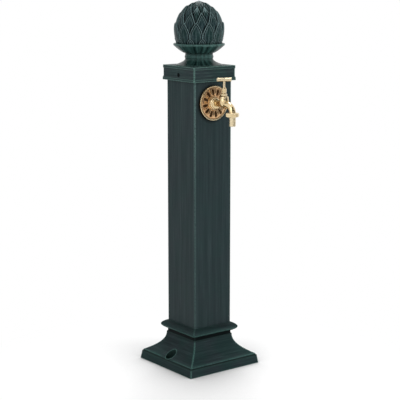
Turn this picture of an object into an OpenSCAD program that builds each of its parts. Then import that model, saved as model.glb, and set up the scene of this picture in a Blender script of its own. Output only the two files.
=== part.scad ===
// Garden standpipe: a square cast column on a moulded foot, with a pine-cone finial and a brass bib tap.
// +Z is up, the origin is on the column's axis at floor level, and the tap faces -Y.

/* [Column] */
// Outside width of the square column
column_w = 118; // [100:1:140]
// Wall of the column
column_wall = 4; // [3:0.5:6]
// Radius of the column's outer corners
column_corner = 3; // [1:0.5:6]
// Length of the column, from its seat in the foot to the underside of the cap's top
column_l = 692; // [400:1:900]
// Radius of the screw channels in the column's inner corners
channel_r = 6; // [5:0.5:8]

/* [Foot] */
// Width of the foot at the floor
foot_w = 226; // [200:1:260]
// Height of the plinth
plinth_h = 22; // [16:1:30]
// Draft of the plinth on each side
plinth_draft = 3.5; // [1:0.5:6]
// Width of the ledge on top of the plinth
ledge_w = 2.5; // [1:0.5:5]
// Height of the small step between the ledge and the flare
step_h = 3; // [2:0.5:6]
// Height of the concave flare
flare_h = 53; // [40:1:70]
// How far the top of the flare stands out from the column
flare_top_reach = 3.3; // [1.5:0.1:8]
// How sharply the flare sweeps out towards the floor
flare_power = 2.25; // [1.6:0.05:3]
// Height of the groove under the bead
groove_h = 8; // [6:0.5:14]
// Depth of the groove, as its reach past the column
groove_reach = 1; // [0.5:0.1:3]
// Height of the bead round the column
bead_h = 24; // [18:1:32]
// How far the bead stands out from the column
bead_reach = 14.5; // [9:0.5:20]
// Wall of the hollow foot
foot_wall = 6; // [4:0.5:8]
// Thickness of the deck that carries the column
deck_t = 8; // [6:0.5:10]
// Depth of the socket that the column stands in
socket_d = 20; // [16:0.5:21]

/* [Ground bolts] */
// Distance between the two ground-bolt holes
bolt_spacing = 186; // [182:1:192]
// Radius of the ground-bolt holes
bolt_hole_r = 5; // [3:0.25:6]
// Radius of the pocket round each bolt head
pocket_r = 14; // [9:0.5:15]
// Thickness of the pad under each bolt head
bolt_pad_t = 14; // [10:0.5:21]

/* [Cap] */
// Height of the cap
cap_h = 38; // [30:1:50]
// Thickness of the cap's top
cap_top_t = 6; // [4:0.5:10]
// How far the lower lip stands out from the column
cap_lip_reach = 8.5; // [7:0.1:12]
// How far the waist stands out from the column
cap_waist_reach = 6.7; // [5.5:0.1:9]
// How far the upper lip stands out from the column
cap_crown_reach = 7.7; // [6:0.1:11]
// Height of the lower lip
cap_lip_h = 8.5; // [5:0.5:10]
// Height of the upper lip
cap_crown_h = 8; // [5:0.5:12]
// Height of the cap's side screws above its lower edge
cap_screw_z = 15; // [12:0.5:20]

/* [Finial] */
// Radius of the finial's foot on the cap
pedestal_r = 60; // [48:1:64]
// Height of the concave pedestal
pedestal_h = 16; // [10:0.5:30]
// Radius of the neck
neck_r = 35.8; // [28:0.5:42]
// Height of the neck
neck_h = 14; // [8:0.5:24]
// How far the neck's bead stands out
neck_bead = 1.2; // [0.5:0.1:3]
// Radius of the saucer's rim
saucer_r = 66; // [64:0.5:80]
// Height of the saucer, from the neck to its rim
saucer_h = 20; // [14:0.5:30]
// Height of the saucer's rim
saucer_rim_h = 5; // [3:0.5:8]
// Depth of the dish that the cone stands in
dish_d = 7; // [4:0.5:10]
// Wall of the hollow pedestal
pedestal_wall = 9; // [6:0.5:12]
// Greatest radius of the cone over its scales
cone_r = 64.5; // [56:0.5:66]
// Height of the cone above the dish
cone_h = 114; // [90:1:140]
// Height of the cone's widest part above the dish
cone_belly_z = 34; // [26:1:44]
// Number of scales in each row
scale_count = 12; // [8:1:16]
// How far a scale's tip stands out
scale_lift = 6; // [3:0.25:7]
// Radius of the boss that takes the stud
cone_boss_r = 11; // [8:0.5:14]
// Wall of the hollow cone
cone_wall = 9; // [7:0.5:14]

/* [Fasteners] */
// Radius of the column and cap screws
screw_r = 2.5; // [2:0.25:3]
// Radius of the screw heads
screw_head_r = 4.3; // [3.8:0.1:4.6]
// Height of the screw heads
screw_head_h = 3.2; // [2.5:0.1:4]
// Length of the column screws
column_screw_l = 30; // [20:1:50]
// Length of the cap screws
cap_screw_l = 14; // [12:1:20]
// Radius of the finial stud
stud_r = 5; // [4:0.25:6]
// How far the stud reaches into the cone
stud_grip = 42; // [25:1:60]
// Height of the stud's nut
stud_nut_h = 8; // [6:0.5:10]
// Thickness of the stud's washer
stud_washer_t = 2; // [1:0.25:3]

/* [Water pipe] */
// Outside radius of the riser pipe
pipe_r = 7.5; // [6:0.25:8]
// Wall of the riser pipe
pipe_wall = 1; // [0.7:0.1:1.5]
// Radius of the half-inch pipe threads
thread_r = 10.48; // [10.3:0.01:10.6]
// Height of the supply connector's lower end above the floor
supply_z = 8; // [4:0.5:16]
// Length of the supply connector's thread
supply_thread_l = 14; // [10:0.5:20]
// Width across flats of the pipe nuts
pipe_nut_af = 25; // [24.5:0.5:30]
// Height of the elbow's lower end below the tap's axis
elbow_drop = 34; // [30:0.5:50]

/* [Rosette] */
// Depth of the inlet axis below the cap's lower edge
tap_drop = 55; // [50:0.5:120]
// Radius of the rosette
rosette_r = 44; // [38:0.5:50]
// Thickness of the rosette's rim
rosette_rim_t = 5; // [4:0.25:7]
// Radius of the rosette's centre boss
rosette_boss_r = 15.2; // [14:0.1:16]
// Height of the rosette's centre boss
rosette_boss_h = 10; // [7:0.25:14]
// Number of petals
petal_count = 12; // [8:1:14]
// Radius of a slot's inner end
slot_root_r = 2.2; // [1.2:0.1:2.6]
// Radius of a slot's outer end
slot_tip_r = 3.4; // [2:0.1:4]
// Thickness of the plate under the slots
slot_floor_t = 1.2; // [0.8:0.1:2]

/* [Tap body] */
// Radius of the shoulder that clamps the rosette
shoulder_r = 13.6; // [12.5:0.1:15]
// Height of the shoulder's dome
shoulder_t = 4; // [3:0.25:6]
// Distance of the spindle axis from the column's face
spindle_reach = 44; // [40:0.5:56]
// Distance of the outlet axis from the column's face
spout_reach = 78; // [72:0.5:100]
// Radius of the tap's barrel
barrel_r = 12.5; // [12:0.1:15]
// Height of the barrel's mouth above the inlet axis
barrel_top = 16; // [14:0.5:22]
// Height of the valve seat above the inlet axis
seat_z = 5.5; // [5:0.1:6.5]
// Radius of the inlet neck
inlet_neck_r = 7.5; // [6:0.1:8.5]
// Radius of the spout
spout_r = 8; // [7:0.1:9]
// Bend radius of the spout
spout_bend = 18; // [14:0.5:22]
// Height of the spout's root above the inlet axis
spout_root_z = 2; // [1:0.1:3]
// Radius of the three-quarter-inch outlet thread
outlet_thread_r = 13.2; // [13:0.01:13.4]
// Length of the outlet thread
outlet_thread_l = 6; // [5:0.25:9]

/* [Valve] */
// Height of the bonnet's round collar
collar_h = 5; // [4:0.25:7]
// Radius of the bonnet's round collar
collar_r = 11.8; // [11:0.1:14]
// Width across flats of the bonnet
bonnet_af = 14.2; // [13:0.1:18]
// Height of the bonnet's flats
bonnet_hex_h = 7; // [6:0.25:10]
// Width across flats of the gland nut
gland_af = 12; // [12:0.1:15]
// Height of the gland nut
gland_h = 12; // [9:0.25:15]
// Radius of the spindle where it shows
spindle_r = 2.9; // [2.4:0.05:3.2]
// Radius of the spindle's threaded length
spindle_thread_r = 4; // [3.7:0.05:4.2]
// Travel of the valve from closed to open
valve_lift = 4.5; // [2:0.1:5]
// Thickness of the valve washer
valve_washer_t = 3; // [2:0.1:3.5]
// Height of the handle's bar above the inlet axis
handle_z = 62.5; // [55:0.5:80]
// Length of the handle's bar
handle_l = 37; // [30:0.5:60]
// Radius of the handle's bar
handle_r = 4.6; // [3.8:0.1:6]
// Turn of the handle's bar from the column's face when the valve is closed
handle_angle = -37; // [-90:1:90]

/* [Outlet] */
// Turn of the bonnet's, gland nut's and union nut's corners
nut_turn = -24; // [-30:1:30]
// Width across flats of the union nut
union_af = 30; // [29:0.5:34]
// Height of the union nut
union_h = 10; // [9:0.25:14]
// Radius of the hose tail
tail_r = 8.1; // [7:0.1:9.5]
// Bore radius of the hose tail
tail_bore_r = 5.5; // [4:0.1:6]
// Length of the hose tail below the union nut
tail_l = 24; // [16:0.5:40]

/* [Fits] */
// Gap between pieces that slip together
slip_gap = 0.2; // [0.1:0.05:0.4]
// Gap between threads and pins and their holes
thread_gap = 0.06; // [0.03:0.01:0.1]
// Extra radius of a clearance hole round its bolt or screw
hole_gap = 0.25; // [0.15:0.05:0.5]

/* [Hidden] */
$fn = 64;
eps = 0.01;
// How far a cutter runs past the face that it cuts
past = 1;

// Heights of the stack, from the floor up
flare_z = plinth_h + step_h;
groove_z = flare_z + flare_h;
bead_z = groove_z + groove_h;
collar_top_z = bead_z + bead_h;
deck_z = collar_top_z - socket_d;
column_top_z = deck_z + column_l;
cap_top_z = column_top_z + cap_top_t;
cap_z = cap_top_z - cap_h;
cap_screw_height = cap_z + cap_screw_z;
neck_z = cap_top_z + pedestal_h;
saucer_z = neck_z + neck_h;
rim_z = saucer_z + saucer_h;
rim_top_z = rim_z + saucer_rim_h;
dish_z = rim_top_z - dish_d;
tap_z = cap_z - tap_drop;

// Half-widths and lines of the foot and column
column_half = column_w / 2;
socket_half = column_half + slip_gap;
plinth_top_half = foot_w / 2 - plinth_draft;
flare_foot_half = plinth_top_half - ledge_w;
flare_top_half = column_half + flare_top_reach;
groove_half = column_half + groove_reach;
channel_bite = 1;
channel_c = column_half - column_wall - channel_r + channel_bite;
pocket_wall = 4;
step_in = 1;
groove_lip_h = 2.8;
hollow_side_share = 0.6;
flare_steps = 12;
bead_steps = 12;
corner_steps = 3;

// Cap screws and the pocket that hides their heads
cap_waist_half = column_half + cap_waist_reach;
cap_seat_t = 2.6;
cap_screw_seat = column_half + slip_gap + cap_seat_t;
cap_screw_pocket_r = screw_head_r + hole_gap;
cap_step = 0.9;

// Screw heads: the flat and the straight side as shares of the head, and the cross recess
head_flat_share = 0.6;
head_dome_share = 0.55;
cross_l_share = 0.5;
cross_w_share = 0.2;
cross_d_share = 0.5;

// Nuts: how far their corners are turned down, as shares of the corners' overhang
nut_bevel_h_share = 0.6;
nut_bevel_w_share = 0.96;
stud_nut_af = 17;
stud_washer_r = 11;
stud_end = 4;

// Tap lines, as places on the Y axis and heights
face_y = -column_half;
spindle_y = face_y - spindle_reach;
spout_y = face_y - spout_reach;
seat_height = tap_z + seat_z;
mouth_height = tap_z + barrel_top;
spout_root_height = tap_z + spout_root_z;
outlet_height = spout_root_height - spout_bend - outlet_thread_l;

// Centre of the barrel's round bottom, so that the inlet neck runs into it
neck_cover = 0.5;
barrel_round_z = barrel_r - inlet_neck_r - neck_cover;

// Water ways
inlet_bore_r = 3.8;
spout_bore_r = 4.5;
spout_bore_step = 0.3;
seat_wall = 2.4;
barrel_wall = 2.5;
spout_root_swell = 0.8;
spout_end_swell = 0.6;
outlet_neck_h = 1.5;
seat_bore_r = 3.6;
chamber_r = barrel_r - barrel_wall;
skirt_l = 4;
skirt_wall = 2;

// Tap shank: shoulder, washers and what clamps it to the column's wall
shank_washer_t = 1;
shoulder_d = rosette_boss_h + shank_washer_t;
shoulder_edge_t = 1;
boss_seat_w = 1.6;
boss_bore_r = thread_r + hole_gap;
boss_top_r = boss_bore_r + boss_seat_w;
back_washer_t = 2;
back_washer_w = 8;
back_nut_wall = 4.5;
back_nut_t = 6;
back_nut_d = -column_wall - back_washer_t - back_nut_t;
elbow_gap = 1;
elbow_socket_d = back_nut_d - elbow_gap;
elbow_socket_l = 14;
elbow_socket_floor = 1;
shank_play = 1;
shank_end_d = elbow_socket_d - elbow_socket_l + elbow_socket_floor + shank_play;
elbow_wall = 2;
elbow_socket_wall = 4;
elbow_knuckle = 1.2;

// Compression joints: the pipe's depth in the body, and the olive and nut round it
joint_grip = 13;
joint_thread_l = 12;
olive_l = 5;
olive_t = 2;
olive_end_t = 1.2;
olive_ramp_share = 0.35;
joint_nut_wall = 4;
joint_nut_reach = 9;
connector_hex_h = 10;
connector_top = supply_z + supply_thread_l + connector_hex_h + joint_thread_l;
elbow_end = tap_z - elbow_drop;
grommet_hole_r = 20;
grommet_groove = 2;

// Valve stack, from the seat up
seat_gap = 0.05;
washer_z = seat_height + seat_gap;
jumper_z = washer_z + valve_washer_t;
jumper_disc_h = 2;
jumper_play = 1;
jumper_disc_r = chamber_r - skirt_wall - jumper_play;
valve_washer_inset = 0.5;
jumper_stem_r = 2;
jumper_stem_l = 6;
jumper_stem_play = 0.5;
spindle_z = jumper_z + jumper_disc_h + thread_gap;
bonnet_washer_t = 1;
bonnet_washer_inset = 0.6;
collar_foot_bevel = 0.8;
collar_top_bevel = 1.6;
bonnet_z = mouth_height + bonnet_washer_t;
bonnet_hex_z = bonnet_z + collar_h;
spigot_z = bonnet_hex_z + bonnet_hex_h;
spigot_wall = 0.9;
spigot_r = spindle_thread_r + spigot_wall;
gland_top_t = 3.5;
spigot_l = gland_h - gland_top_t;
packing_h = 3.5;
packing_z = spigot_z + spigot_l - packing_h;
packing_gap = 0.8;
spindle_thread_top = packing_z - valve_lift - packing_gap;
gland_gap = 1;
gland_z = spigot_z + gland_gap;
gland_cone_h = 2.4;
gland_cone_sink = 1.2;
gland_cone_foot_t = 2;
gland_cone_top_t = 0.7;
handle_height = tap_z + handle_z;
handle_pin_r = 1.2;
handle_pin_sink = 0.7;
spindle_bite_share = 0.8;
handle_waist = 0.4;
handle_end_round = 1.2;
handle_ball_l = 4;
handle_taper_l = 4;

// Union below the spout
union_floor_t = 2;
tail_flange_t = 2;
hose_washer_t = 2;
hose_washer_z = outlet_height - hose_washer_t;
tail_flange_z = hose_washer_z - tail_flange_t;
union_z = tail_flange_z - union_floor_t;
tail_flange_inset = 0.6;
tail_flange_r = outlet_thread_r - tail_flange_inset;
tail_bevel = 0.8;
tail_relief = 0.3;

// Rosette: the parts of its section, and the slots' ends from the boss and from the rim
rosette_back_bevel = 0.5;
rosette_rim_bevel = 1.2;
rosette_rim_w = 2.6;
rosette_ramp_w = 1.9;
petal_sink = 1.6;
petal_crown = 1.8;
petal_gap = 2;
boss_foot_h = 0.4;
petal_steps = 8;
slot_in = 8;
slot_out = 11.4;

// Pedestal: the parts of its outline
pedestal_edge = 0.6;
pedestal_foot_t = 1.6;
pedestal_ledge = 1;
pedestal_power = 1.9;
pedestal_steps = 10;
neck_band_share = 0.7;
neck_groove_share = 0.75;
neck_groove = 0.4;
saucer_power = 0.72;
saucer_steps = 8;
rim_bevel = 1.2;
rim_w = 3;
dish_inset = 6;
dish_fillet = 1;

// Cone: the smooth core under the scales, as a radius for each height above the dish
cone_core_r = cone_r - scale_lift;
cone_roundness = 0.74;
cone_apex_share = 0.0004;
cone_foot_draw = 0.075;
cone_steps = 22;
cone_hollow_steps = 8;
cone_tip_t = 19.8;
cone_boss_gap = 1;
cone_hole_end = 1;
function cone_rise(z) = (z - cone_belly_z) / (cone_h - cone_belly_z);
function cone_core(z) = z > cone_belly_z
    ? cone_core_r * pow(max(cone_apex_share, 1 - pow(cone_rise(z), 2)), cone_roundness)
    : cone_core_r * (1 - cone_foot_draw * pow((cone_belly_z - z) / cone_belly_z, 2));

// Rows of scales: root and tip as shares of the cone's height, half a turn step of offset, and width in steps
scale_rows = [
    [-0.02, 0.185, 0.0, 0.70],
    [0.00, 0.530, 0.5, 1.04],
    [0.28, 0.765, 0.0, 1.02],
    [0.56, 0.885, 0.5, 1.00],
    [0.75, 0.960, 0.0, 0.98]
];
scale_across = [-1, -0.82, -0.62, 0, 0.62, 0.82, 1];
scale_relief = [0.78, 1.0, 0.74, 0.92, 0.74, 1.0, 0.78];
scale_along = 5;
scale_shoulder = 0.34;
scale_point = 1.75;
scale_root_share = 0.3;
scale_root_lift = 0.35;
scale_swell = 0.8;
scale_tip_share = 0.03;
scale_least_r = 0.4;
scale_bed = 3;

// Points of a square ring with rounded corners, anticlockwise from above
function ring(half, corner, z) = [
    for (quarter = [0:3], i = [0:corner_steps])
        let (a = 90 * (quarter + i / corner_steps),
             cx = (half - corner) * (quarter == 0 || quarter == 3 ? 1 : -1),
             cy = (half - corner) * (quarter < 2 ? 1 : -1))
        [cx + corner * cos(a), cy + corner * sin(a), z]
];

// A square moulding: the profile's [half-width, height] points carried round a square with rounded corners
module moulding(profile, corner) {
    n = 4 * (corner_steps + 1);
    rows = len(profile);
    points = [for (p = profile) each ring(p[0], corner, p[1])];
    sides = [
        for (i = [0:rows - 2], j = [0:n - 1])
            let (k = (j + 1) % n)
            [i * n + j, (i + 1) * n + j, (i + 1) * n + k, i * n + k]
    ];
    floor_face = [for (j = [0:n - 1]) j];
    top_face = [for (j = [n - 1:-1:0]) (rows - 1) * n + j];
    polyhedron(points, concat([floor_face], sides, [top_face]));
}

// A straight bar with a square section and rounded corners
module square_bar(half, corner, height) {
    flat = half - corner;
    linear_extrude(height)
        union() {
            square([2 * half, 2 * flat], center = true);
            square([2 * flat, 2 * half], center = true);
            for (x = [-flat, flat], y = [-flat, flat])
                translate([x, y]) circle(corner);
        }
}

// Local frame on the column's front face: +Z points out of the face along the inlet, +Y is up
module outward() {
    translate([0, face_y, tap_z]) rotate([90, 0, 0]) children();
}

// Local frame on the spindle's axis
module on_spindle(z) {
    translate([0, spindle_y, z]) children();
}

// Local frame on the outlet's axis
module on_outlet(z) {
    translate([0, spout_y, z]) children();
}

// A ring between two radii
module tube(outer, inner, height) {
    difference() {
        cylinder(r = outer, h = height);
        translate([0, 0, -eps]) cylinder(r = inner, h = height + 2 * eps);
    }
}

// A hexagon bar given by its width across flats, with its corners turned down
module hex_bar(af, height) {
    corner_r = af / sqrt(3);
    bevel_h = (corner_r - af / 2) * nut_bevel_h_share;
    bevel_w = (corner_r - af / 2) * nut_bevel_w_share;
    intersection() {
        cylinder(r = corner_r, h = height, $fn = 6);
        rotate_extrude()
            polygon([
                [0, 0], [corner_r - bevel_w, 0], [corner_r, bevel_h],
                [corner_r, height - bevel_h], [corner_r - bevel_w, height], [0, height]
            ]);
    }
}

// A screw pointing along +Z, with a domed head below its shank and a cross recess in the head
module screw(length) {
    cross_l = screw_head_r * cross_l_share;
    cross_w = screw_head_r * cross_w_share;
    difference() {
        union() {
            cylinder(r = screw_r, h = length);
            rotate_extrude()
                polygon([
                    [0, -screw_head_h], [screw_head_r * head_flat_share, -screw_head_h],
                    [screw_head_r, screw_head_h * (head_dome_share - 1)], [screw_head_r, 0], [0, 0]
                ]);
        }
        for (a = [0, 90])
            rotate(a)
                translate([-cross_l, -cross_w / 2, -screw_head_h - eps])
                    cube([2 * cross_l, cross_w, screw_head_h * cross_d_share]);
    }
}

// A compression nut round a pipe that leaves along +Z; the body's end face is at the origin
module compression_nut() {
    height = joint_nut_reach + olive_l + joint_nut_wall;
    translate([0, 0, -joint_nut_reach])
        difference() {
            hex_bar(pipe_nut_af, height);
            translate([0, 0, -eps])
                cylinder(r = thread_r + thread_gap, h = joint_nut_reach + olive_l + eps);
            cylinder(r = pipe_r + slip_gap, h = height + past);
        }
}

// The soft ring that a compression nut squeezes on to the pipe
module olive() {
    ramp = olive_l * olive_ramp_share;
    rotate_extrude()
        polygon([
            [pipe_r + thread_gap, 0], [pipe_r + olive_end_t, 0], [pipe_r + olive_t, ramp],
            [pipe_r + olive_t, olive_l - ramp], [pipe_r + olive_end_t, olive_l],
            [pipe_r + thread_gap, olive_l]
        ]);
}

// The outside of the foot: plinth, ledge, step, flare, groove and bead
function foot_outline() = concat(
    [[foot_w / 2, 0], [plinth_top_half, plinth_h], [flare_foot_half + step_in, plinth_h]],
    [for (i = [0:flare_steps]) flare_point(i / flare_steps, 0)],
    [[groove_half, groove_z + groove_lip_h]],
    [for (i = [0:bead_steps]) bead_point(i / bead_steps)]
);

// A point of the flare from its foot (0) to its top (1), drawn in by an inset
function flare_point(t, inset) = [
    flare_top_half + (flare_foot_half - flare_top_half) * pow(1 - t, flare_power) - inset,
    flare_z + flare_h * t
];

// A point of the bead's rounded nose, from its lower edge (0) to its upper edge (1)
function bead_point(t) = [
    groove_half + (bead_reach - groove_reach) * (1 - pow(2 * t - 1, 2)),
    bead_z + bead_h * t
];

// The hollow under the deck
function foot_hollow() = concat(
    [[foot_w / 2 - foot_wall, -past],
     [foot_w / 2 - foot_wall - plinth_draft, plinth_h * hollow_side_share]],
    [for (i = [0:flare_steps]) flare_point(i / flare_steps, foot_wall)],
    [[flare_top_half - foot_wall - eps, deck_z - deck_t]]
);

// A child at each of the two ground bolts
module at_bolts() {
    for (side = [-1, 1])
        translate([side * bolt_spacing / 2, 0, 0]) children();
}

// A child at each of the four screw channels
module at_channels() {
    for (x = [-channel_c, channel_c], y = [-channel_c, channel_c])
        translate([x, y, 0]) children();
}

module base_foot() {
    color("#2b3b3a")
        difference() {
            moulding(foot_outline(), column_corner);
            difference() {
                moulding(foot_hollow(), column_corner);
                at_bolts() translate([0, 0, -2 * past]) cylinder(r = pocket_r + pocket_wall, h = deck_z);
            }
            translate([0, 0, deck_z])
                square_bar(socket_half, column_corner, socket_d + past);
            at_bolts() {
                translate([0, 0, bolt_pad_t]) cylinder(r = pocket_r, h = flare_h);
                translate([0, 0, -past]) cylinder(r = bolt_hole_r, h = bolt_pad_t + 2 * past);
            }
            translate([0, 0, deck_z - deck_t - past]) {
                at_channels() cylinder(r = screw_r + hole_gap, h = deck_t + 2 * past);
                cylinder(r = grommet_hole_r, h = deck_t + 2 * past);
            }
        }
}

module column() {
    color("#2f3d3e")
        translate([0, 0, deck_z])
            difference() {
                union() {
                    difference() {
                        square_bar(column_half, column_corner, column_l);
                        translate([0, 0, -past])
                            linear_extrude(column_l + 2 * past)
                                square(2 * (column_half - column_wall), center = true);
                    }
                    at_channels() cylinder(r = channel_r, h = column_l);
                }
                translate([0, 0, -past])
                    at_channels() cylinder(r = screw_r + thread_gap, h = column_l + 2 * past);
                translate([0, face_y - past, tap_z - deck_z])
                    rotate([-90, 0, 0]) cylinder(r = boss_bore_r, h = column_wall + 2 * past);
                for (side = [0, 180])
                    rotate(side)
                        translate([column_half - column_wall - past, 0, cap_screw_height - deck_z])
                            rotate([0, 90, 0])
                                cylinder(r = screw_r + thread_gap, h = column_wall + 2 * past);
            }
}

module column_screws() {
    color("silver")
        translate([0, 0, deck_z - deck_t]) at_channels() screw(column_screw_l);
}

// The outside of the cap: lower lip, waist and upper lip with stepped edges
function cap_outline() =
    let (lip = column_half + cap_lip_reach,
         crown = column_half + cap_crown_reach,
         crown_z = cap_h - cap_crown_h)
    [
        [lip - cap_step, 0], [lip, cap_step], [lip, cap_lip_h - 3 * cap_step],
        [lip - cap_step, cap_lip_h - 2 * cap_step], [lip - cap_step, cap_lip_h],
        [cap_waist_half, cap_lip_h + 2 * cap_step], [cap_waist_half, crown_z - 3 * cap_step],
        [crown - cap_step, crown_z - cap_step], [crown - cap_step, crown_z],
        [crown, crown_z + cap_step], [crown, cap_h - cap_step], [crown - cap_step, cap_h]
    ];

module cap() {
    color("#33454a")
        translate([0, 0, cap_z])
            difference() {
                moulding(cap_outline(), column_corner);
                translate([0, 0, -past])
                    square_bar(socket_half, column_corner, cap_h - cap_top_t + past);
                cylinder(r = stud_r + hole_gap, h = cap_h + past);
                for (side = [0, 180])
                    rotate(side)
                        translate([0, 0, cap_screw_z])
                            rotate([0, 90, 0]) {
                                cylinder(r = screw_r + hole_gap, h = cap_waist_half + 2 * past);
                                translate([0, 0, cap_screw_seat])
                                    cylinder(r = cap_screw_pocket_r, h = cap_waist_reach + 2 * past);
                            }
            }
}

module cap_screws() {
    color("silver")
        for (side = [0, 180])
            rotate(side)
                translate([cap_screw_seat, 0, cap_screw_height])
                    rotate([0, -90, 0]) screw(cap_screw_l);
}

// The pedestal's outline, from its foot on the cap up to the saucer's rim and into the dish
function pedestal_outline() =
    let (rim_low = rim_z - cap_top_z,
         rim = rim_top_z - cap_top_z,
         dish = dish_z - cap_top_z,
         dish_r = cone_r - dish_inset,
         saucer = neck_z + neck_h - cap_top_z)
    concat(
        [[0, 0], [pedestal_r - pedestal_edge, 0], [pedestal_r, pedestal_edge], [pedestal_r, pedestal_foot_t]],
        [for (i = [0:pedestal_steps])
            let (t = i / pedestal_steps)
            [neck_r + (pedestal_r - pedestal_ledge - neck_r) * pow(1 - t, pedestal_power),
             pedestal_foot_t + (pedestal_h - pedestal_foot_t) * t]],
        [for (i = [1:saucer_steps - 1])
            let (t = i / saucer_steps)
            [neck_r + neck_bead * pow(sin(180 * t), 2), pedestal_h + neck_h * neck_band_share * t]],
        [[neck_r - neck_groove, pedestal_h + neck_h * neck_groove_share], [neck_r - neck_groove, saucer]],
        [for (i = [1:saucer_steps])
            let (t = i / saucer_steps)
            [neck_r + (saucer_r - pedestal_ledge - neck_r) * pow(t, saucer_power), saucer + saucer_h * t]],
        [[saucer_r, rim_low + rim_bevel], [saucer_r, rim - rim_bevel],
         [saucer_r - rim_bevel, rim], [saucer_r - rim_w, rim],
         [dish_r, dish + dish_fillet], [dish_r - dish_fillet, dish], [0, dish]]
    );

module finial_pedestal() {
    hollow_h = dish_z - cap_top_z - pedestal_wall;
    color("#32464a")
        translate([0, 0, cap_top_z])
            difference() {
                rotate_extrude() polygon(pedestal_outline());
                translate([0, 0, -past])
                    cylinder(r = neck_r - pedestal_wall, h = hollow_h + past);
                cylinder(r = stud_r + hole_gap, h = dish_z - cap_top_z + past);
            }
}

// Half-width of a scale, in shares of its greatest, from its root (0) to its point (1)
function scale_width(v) = v < scale_shoulder
    ? 1 - scale_root_share * pow(1 - v / scale_shoulder, 2)
    : max(scale_tip_share, 1 - pow((v - scale_shoulder) / (1 - scale_shoulder), scale_point));

// How far a scale stands off the core, from its root to its point
function scale_rise(v) = scale_lift * (scale_root_lift + (1 - scale_root_lift) * pow(v, scale_swell));

// A point on a scale's face (depth 0) or on its bed inside the core (depth 1)
function scale_at(row, u, relief, v, depth) =
    let (z = cone_h * (row[0] + (row[1] - row[0]) * v),
         core = cone_core(max(0, z)),
         r = max(scale_least_r, depth > 0 ? core - scale_bed : core + scale_rise(v) * relief),
         a = u * row[3] * 180 / scale_count * scale_width(v))
    [r * cos(a), r * sin(a), max(0, z)];

// One scale: a pointed leaf that follows the core, with a raised rim and a crowned middle
module cone_scale(row) {
    across = len(scale_across);
    half = across * (scale_along + 1);
    points = [
        for (depth = [0, 1], i = [0:scale_along], j = [0:across - 1])
            scale_at(row, scale_across[j], scale_relief[j], i / scale_along, depth)
    ];
    face = [
        for (i = [0:scale_along - 1], j = [0:across - 2])
            let (p = i * across + j)
            each [[p, p + across, p + across + 1], [p, p + across + 1, p + 1]]
    ];
    bed = [for (f = face) [f[2] + half, f[1] + half, f[0] + half]];
    border = concat(
        [for (j = [0:across - 1]) j],
        [for (i = [1:scale_along]) i * across + across - 1],
        [for (j = [across - 2:-1:0]) scale_along * across + j],
        [for (i = [scale_along - 1:-1:1]) i * across]
    );
    wall = [
        for (i = [0:len(border) - 1])
            let (p = border[i], q = border[(i + 1) % len(border)])
            each [[p, q, q + half], [p, q + half, p + half]]
    ];
    polyhedron(points, concat(face, bed, wall));
}

module finial_cone() {
    hollow_top = cone_h - cone_tip_t;
    color("#3a5050")
        translate([0, 0, dish_z])
            difference() {
                resize([0, 0, cone_h])
                    difference() {
                        union() {
                            rotate_extrude($fn = 48)
                                polygon(concat(
                                    [[0, 0]],
                                    [for (i = [0:cone_steps])
                                        let (z = cone_h * sin(90 * i / cone_steps))
                                        [cone_core(z), z]],
                                    [[0, cone_h]]
                                ));
                            for (row = scale_rows, i = [0:scale_count - 1])
                                rotate(360 / scale_count * (i + row[2])) cone_scale(row);
                        }
                        rotate_extrude($fn = 24)
                            polygon(concat(
                                [[cone_boss_r, -past]],
                                [for (i = [0:cone_hollow_steps])
                                    let (z = hollow_top * i / cone_hollow_steps)
                                    [max(cone_boss_r + cone_boss_gap, cone_core(z) - cone_wall),
                                     i == 0 ? -past : z]],
                                [[cone_boss_r, hollow_top]]
                            ));
                    }
                translate([0, 0, -past])
                    cylinder(r = stud_r + thread_gap, h = past + stud_grip + cone_hole_end);
            }
}

module finial_stud() {
    top = dish_z + stud_grip;
    bottom = column_top_z - stud_washer_t - stud_nut_h - stud_end;
    color("silver")
        translate([0, 0, bottom]) cylinder(r = stud_r, h = top - bottom);
}

module finial_washer() {
    color("silver")
        translate([0, 0, column_top_z - stud_washer_t])
            tube(stud_washer_r, stud_r + hole_gap, stud_washer_t);
}

module finial_nut() {
    color("silver")
        translate([0, 0, column_top_z - stud_washer_t - stud_nut_h])
            difference() {
                hex_bar(stud_nut_af, stud_nut_h);
                translate([0, 0, -past]) cylinder(r = stud_r + thread_gap, h = stud_nut_h + 2 * past);
            }
}

module supply_connector() {
    hex_z = supply_z + supply_thread_l;
    color("goldenrod")
        difference() {
            union() {
                translate([0, 0, supply_z]) cylinder(r = thread_r, h = supply_thread_l);
                translate([0, 0, hex_z]) hex_bar(pipe_nut_af, connector_hex_h);
                translate([0, 0, hex_z + connector_hex_h]) cylinder(r = thread_r, h = joint_thread_l);
            }
            translate([0, 0, supply_z - past])
                cylinder(r = pipe_r - pipe_wall, h = connector_top - supply_z + 2 * past);
            translate([0, 0, connector_top - joint_grip])
                cylinder(r = pipe_r + thread_gap, h = joint_grip + past);
        }
}

module supply_nut() {
    color("goldenrod") translate([0, 0, connector_top]) compression_nut();
}

module supply_olive() {
    color("goldenrod") translate([0, 0, connector_top]) olive();
}

module riser_pipe() {
    bottom = connector_top - joint_grip;
    color("peru")
        translate([0, 0, bottom])
            tube(pipe_r, pipe_r - pipe_wall, elbow_end + joint_grip - bottom);
}

module pipe_grommet() {
    lip = grommet_groove;
    color("#222222")
        translate([0, 0, deck_z - deck_t])
            rotate_extrude()
                polygon([
                    [pipe_r + thread_gap, -lip], [grommet_hole_r + lip, -lip], [grommet_hole_r + lip, 0],
                    [grommet_hole_r - thread_gap, 0], [grommet_hole_r - thread_gap, deck_t],
                    [grommet_hole_r + lip, deck_t], [grommet_hole_r + lip, deck_t + lip],
                    [pipe_r + thread_gap, deck_t + lip]
                ]);
}

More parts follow.
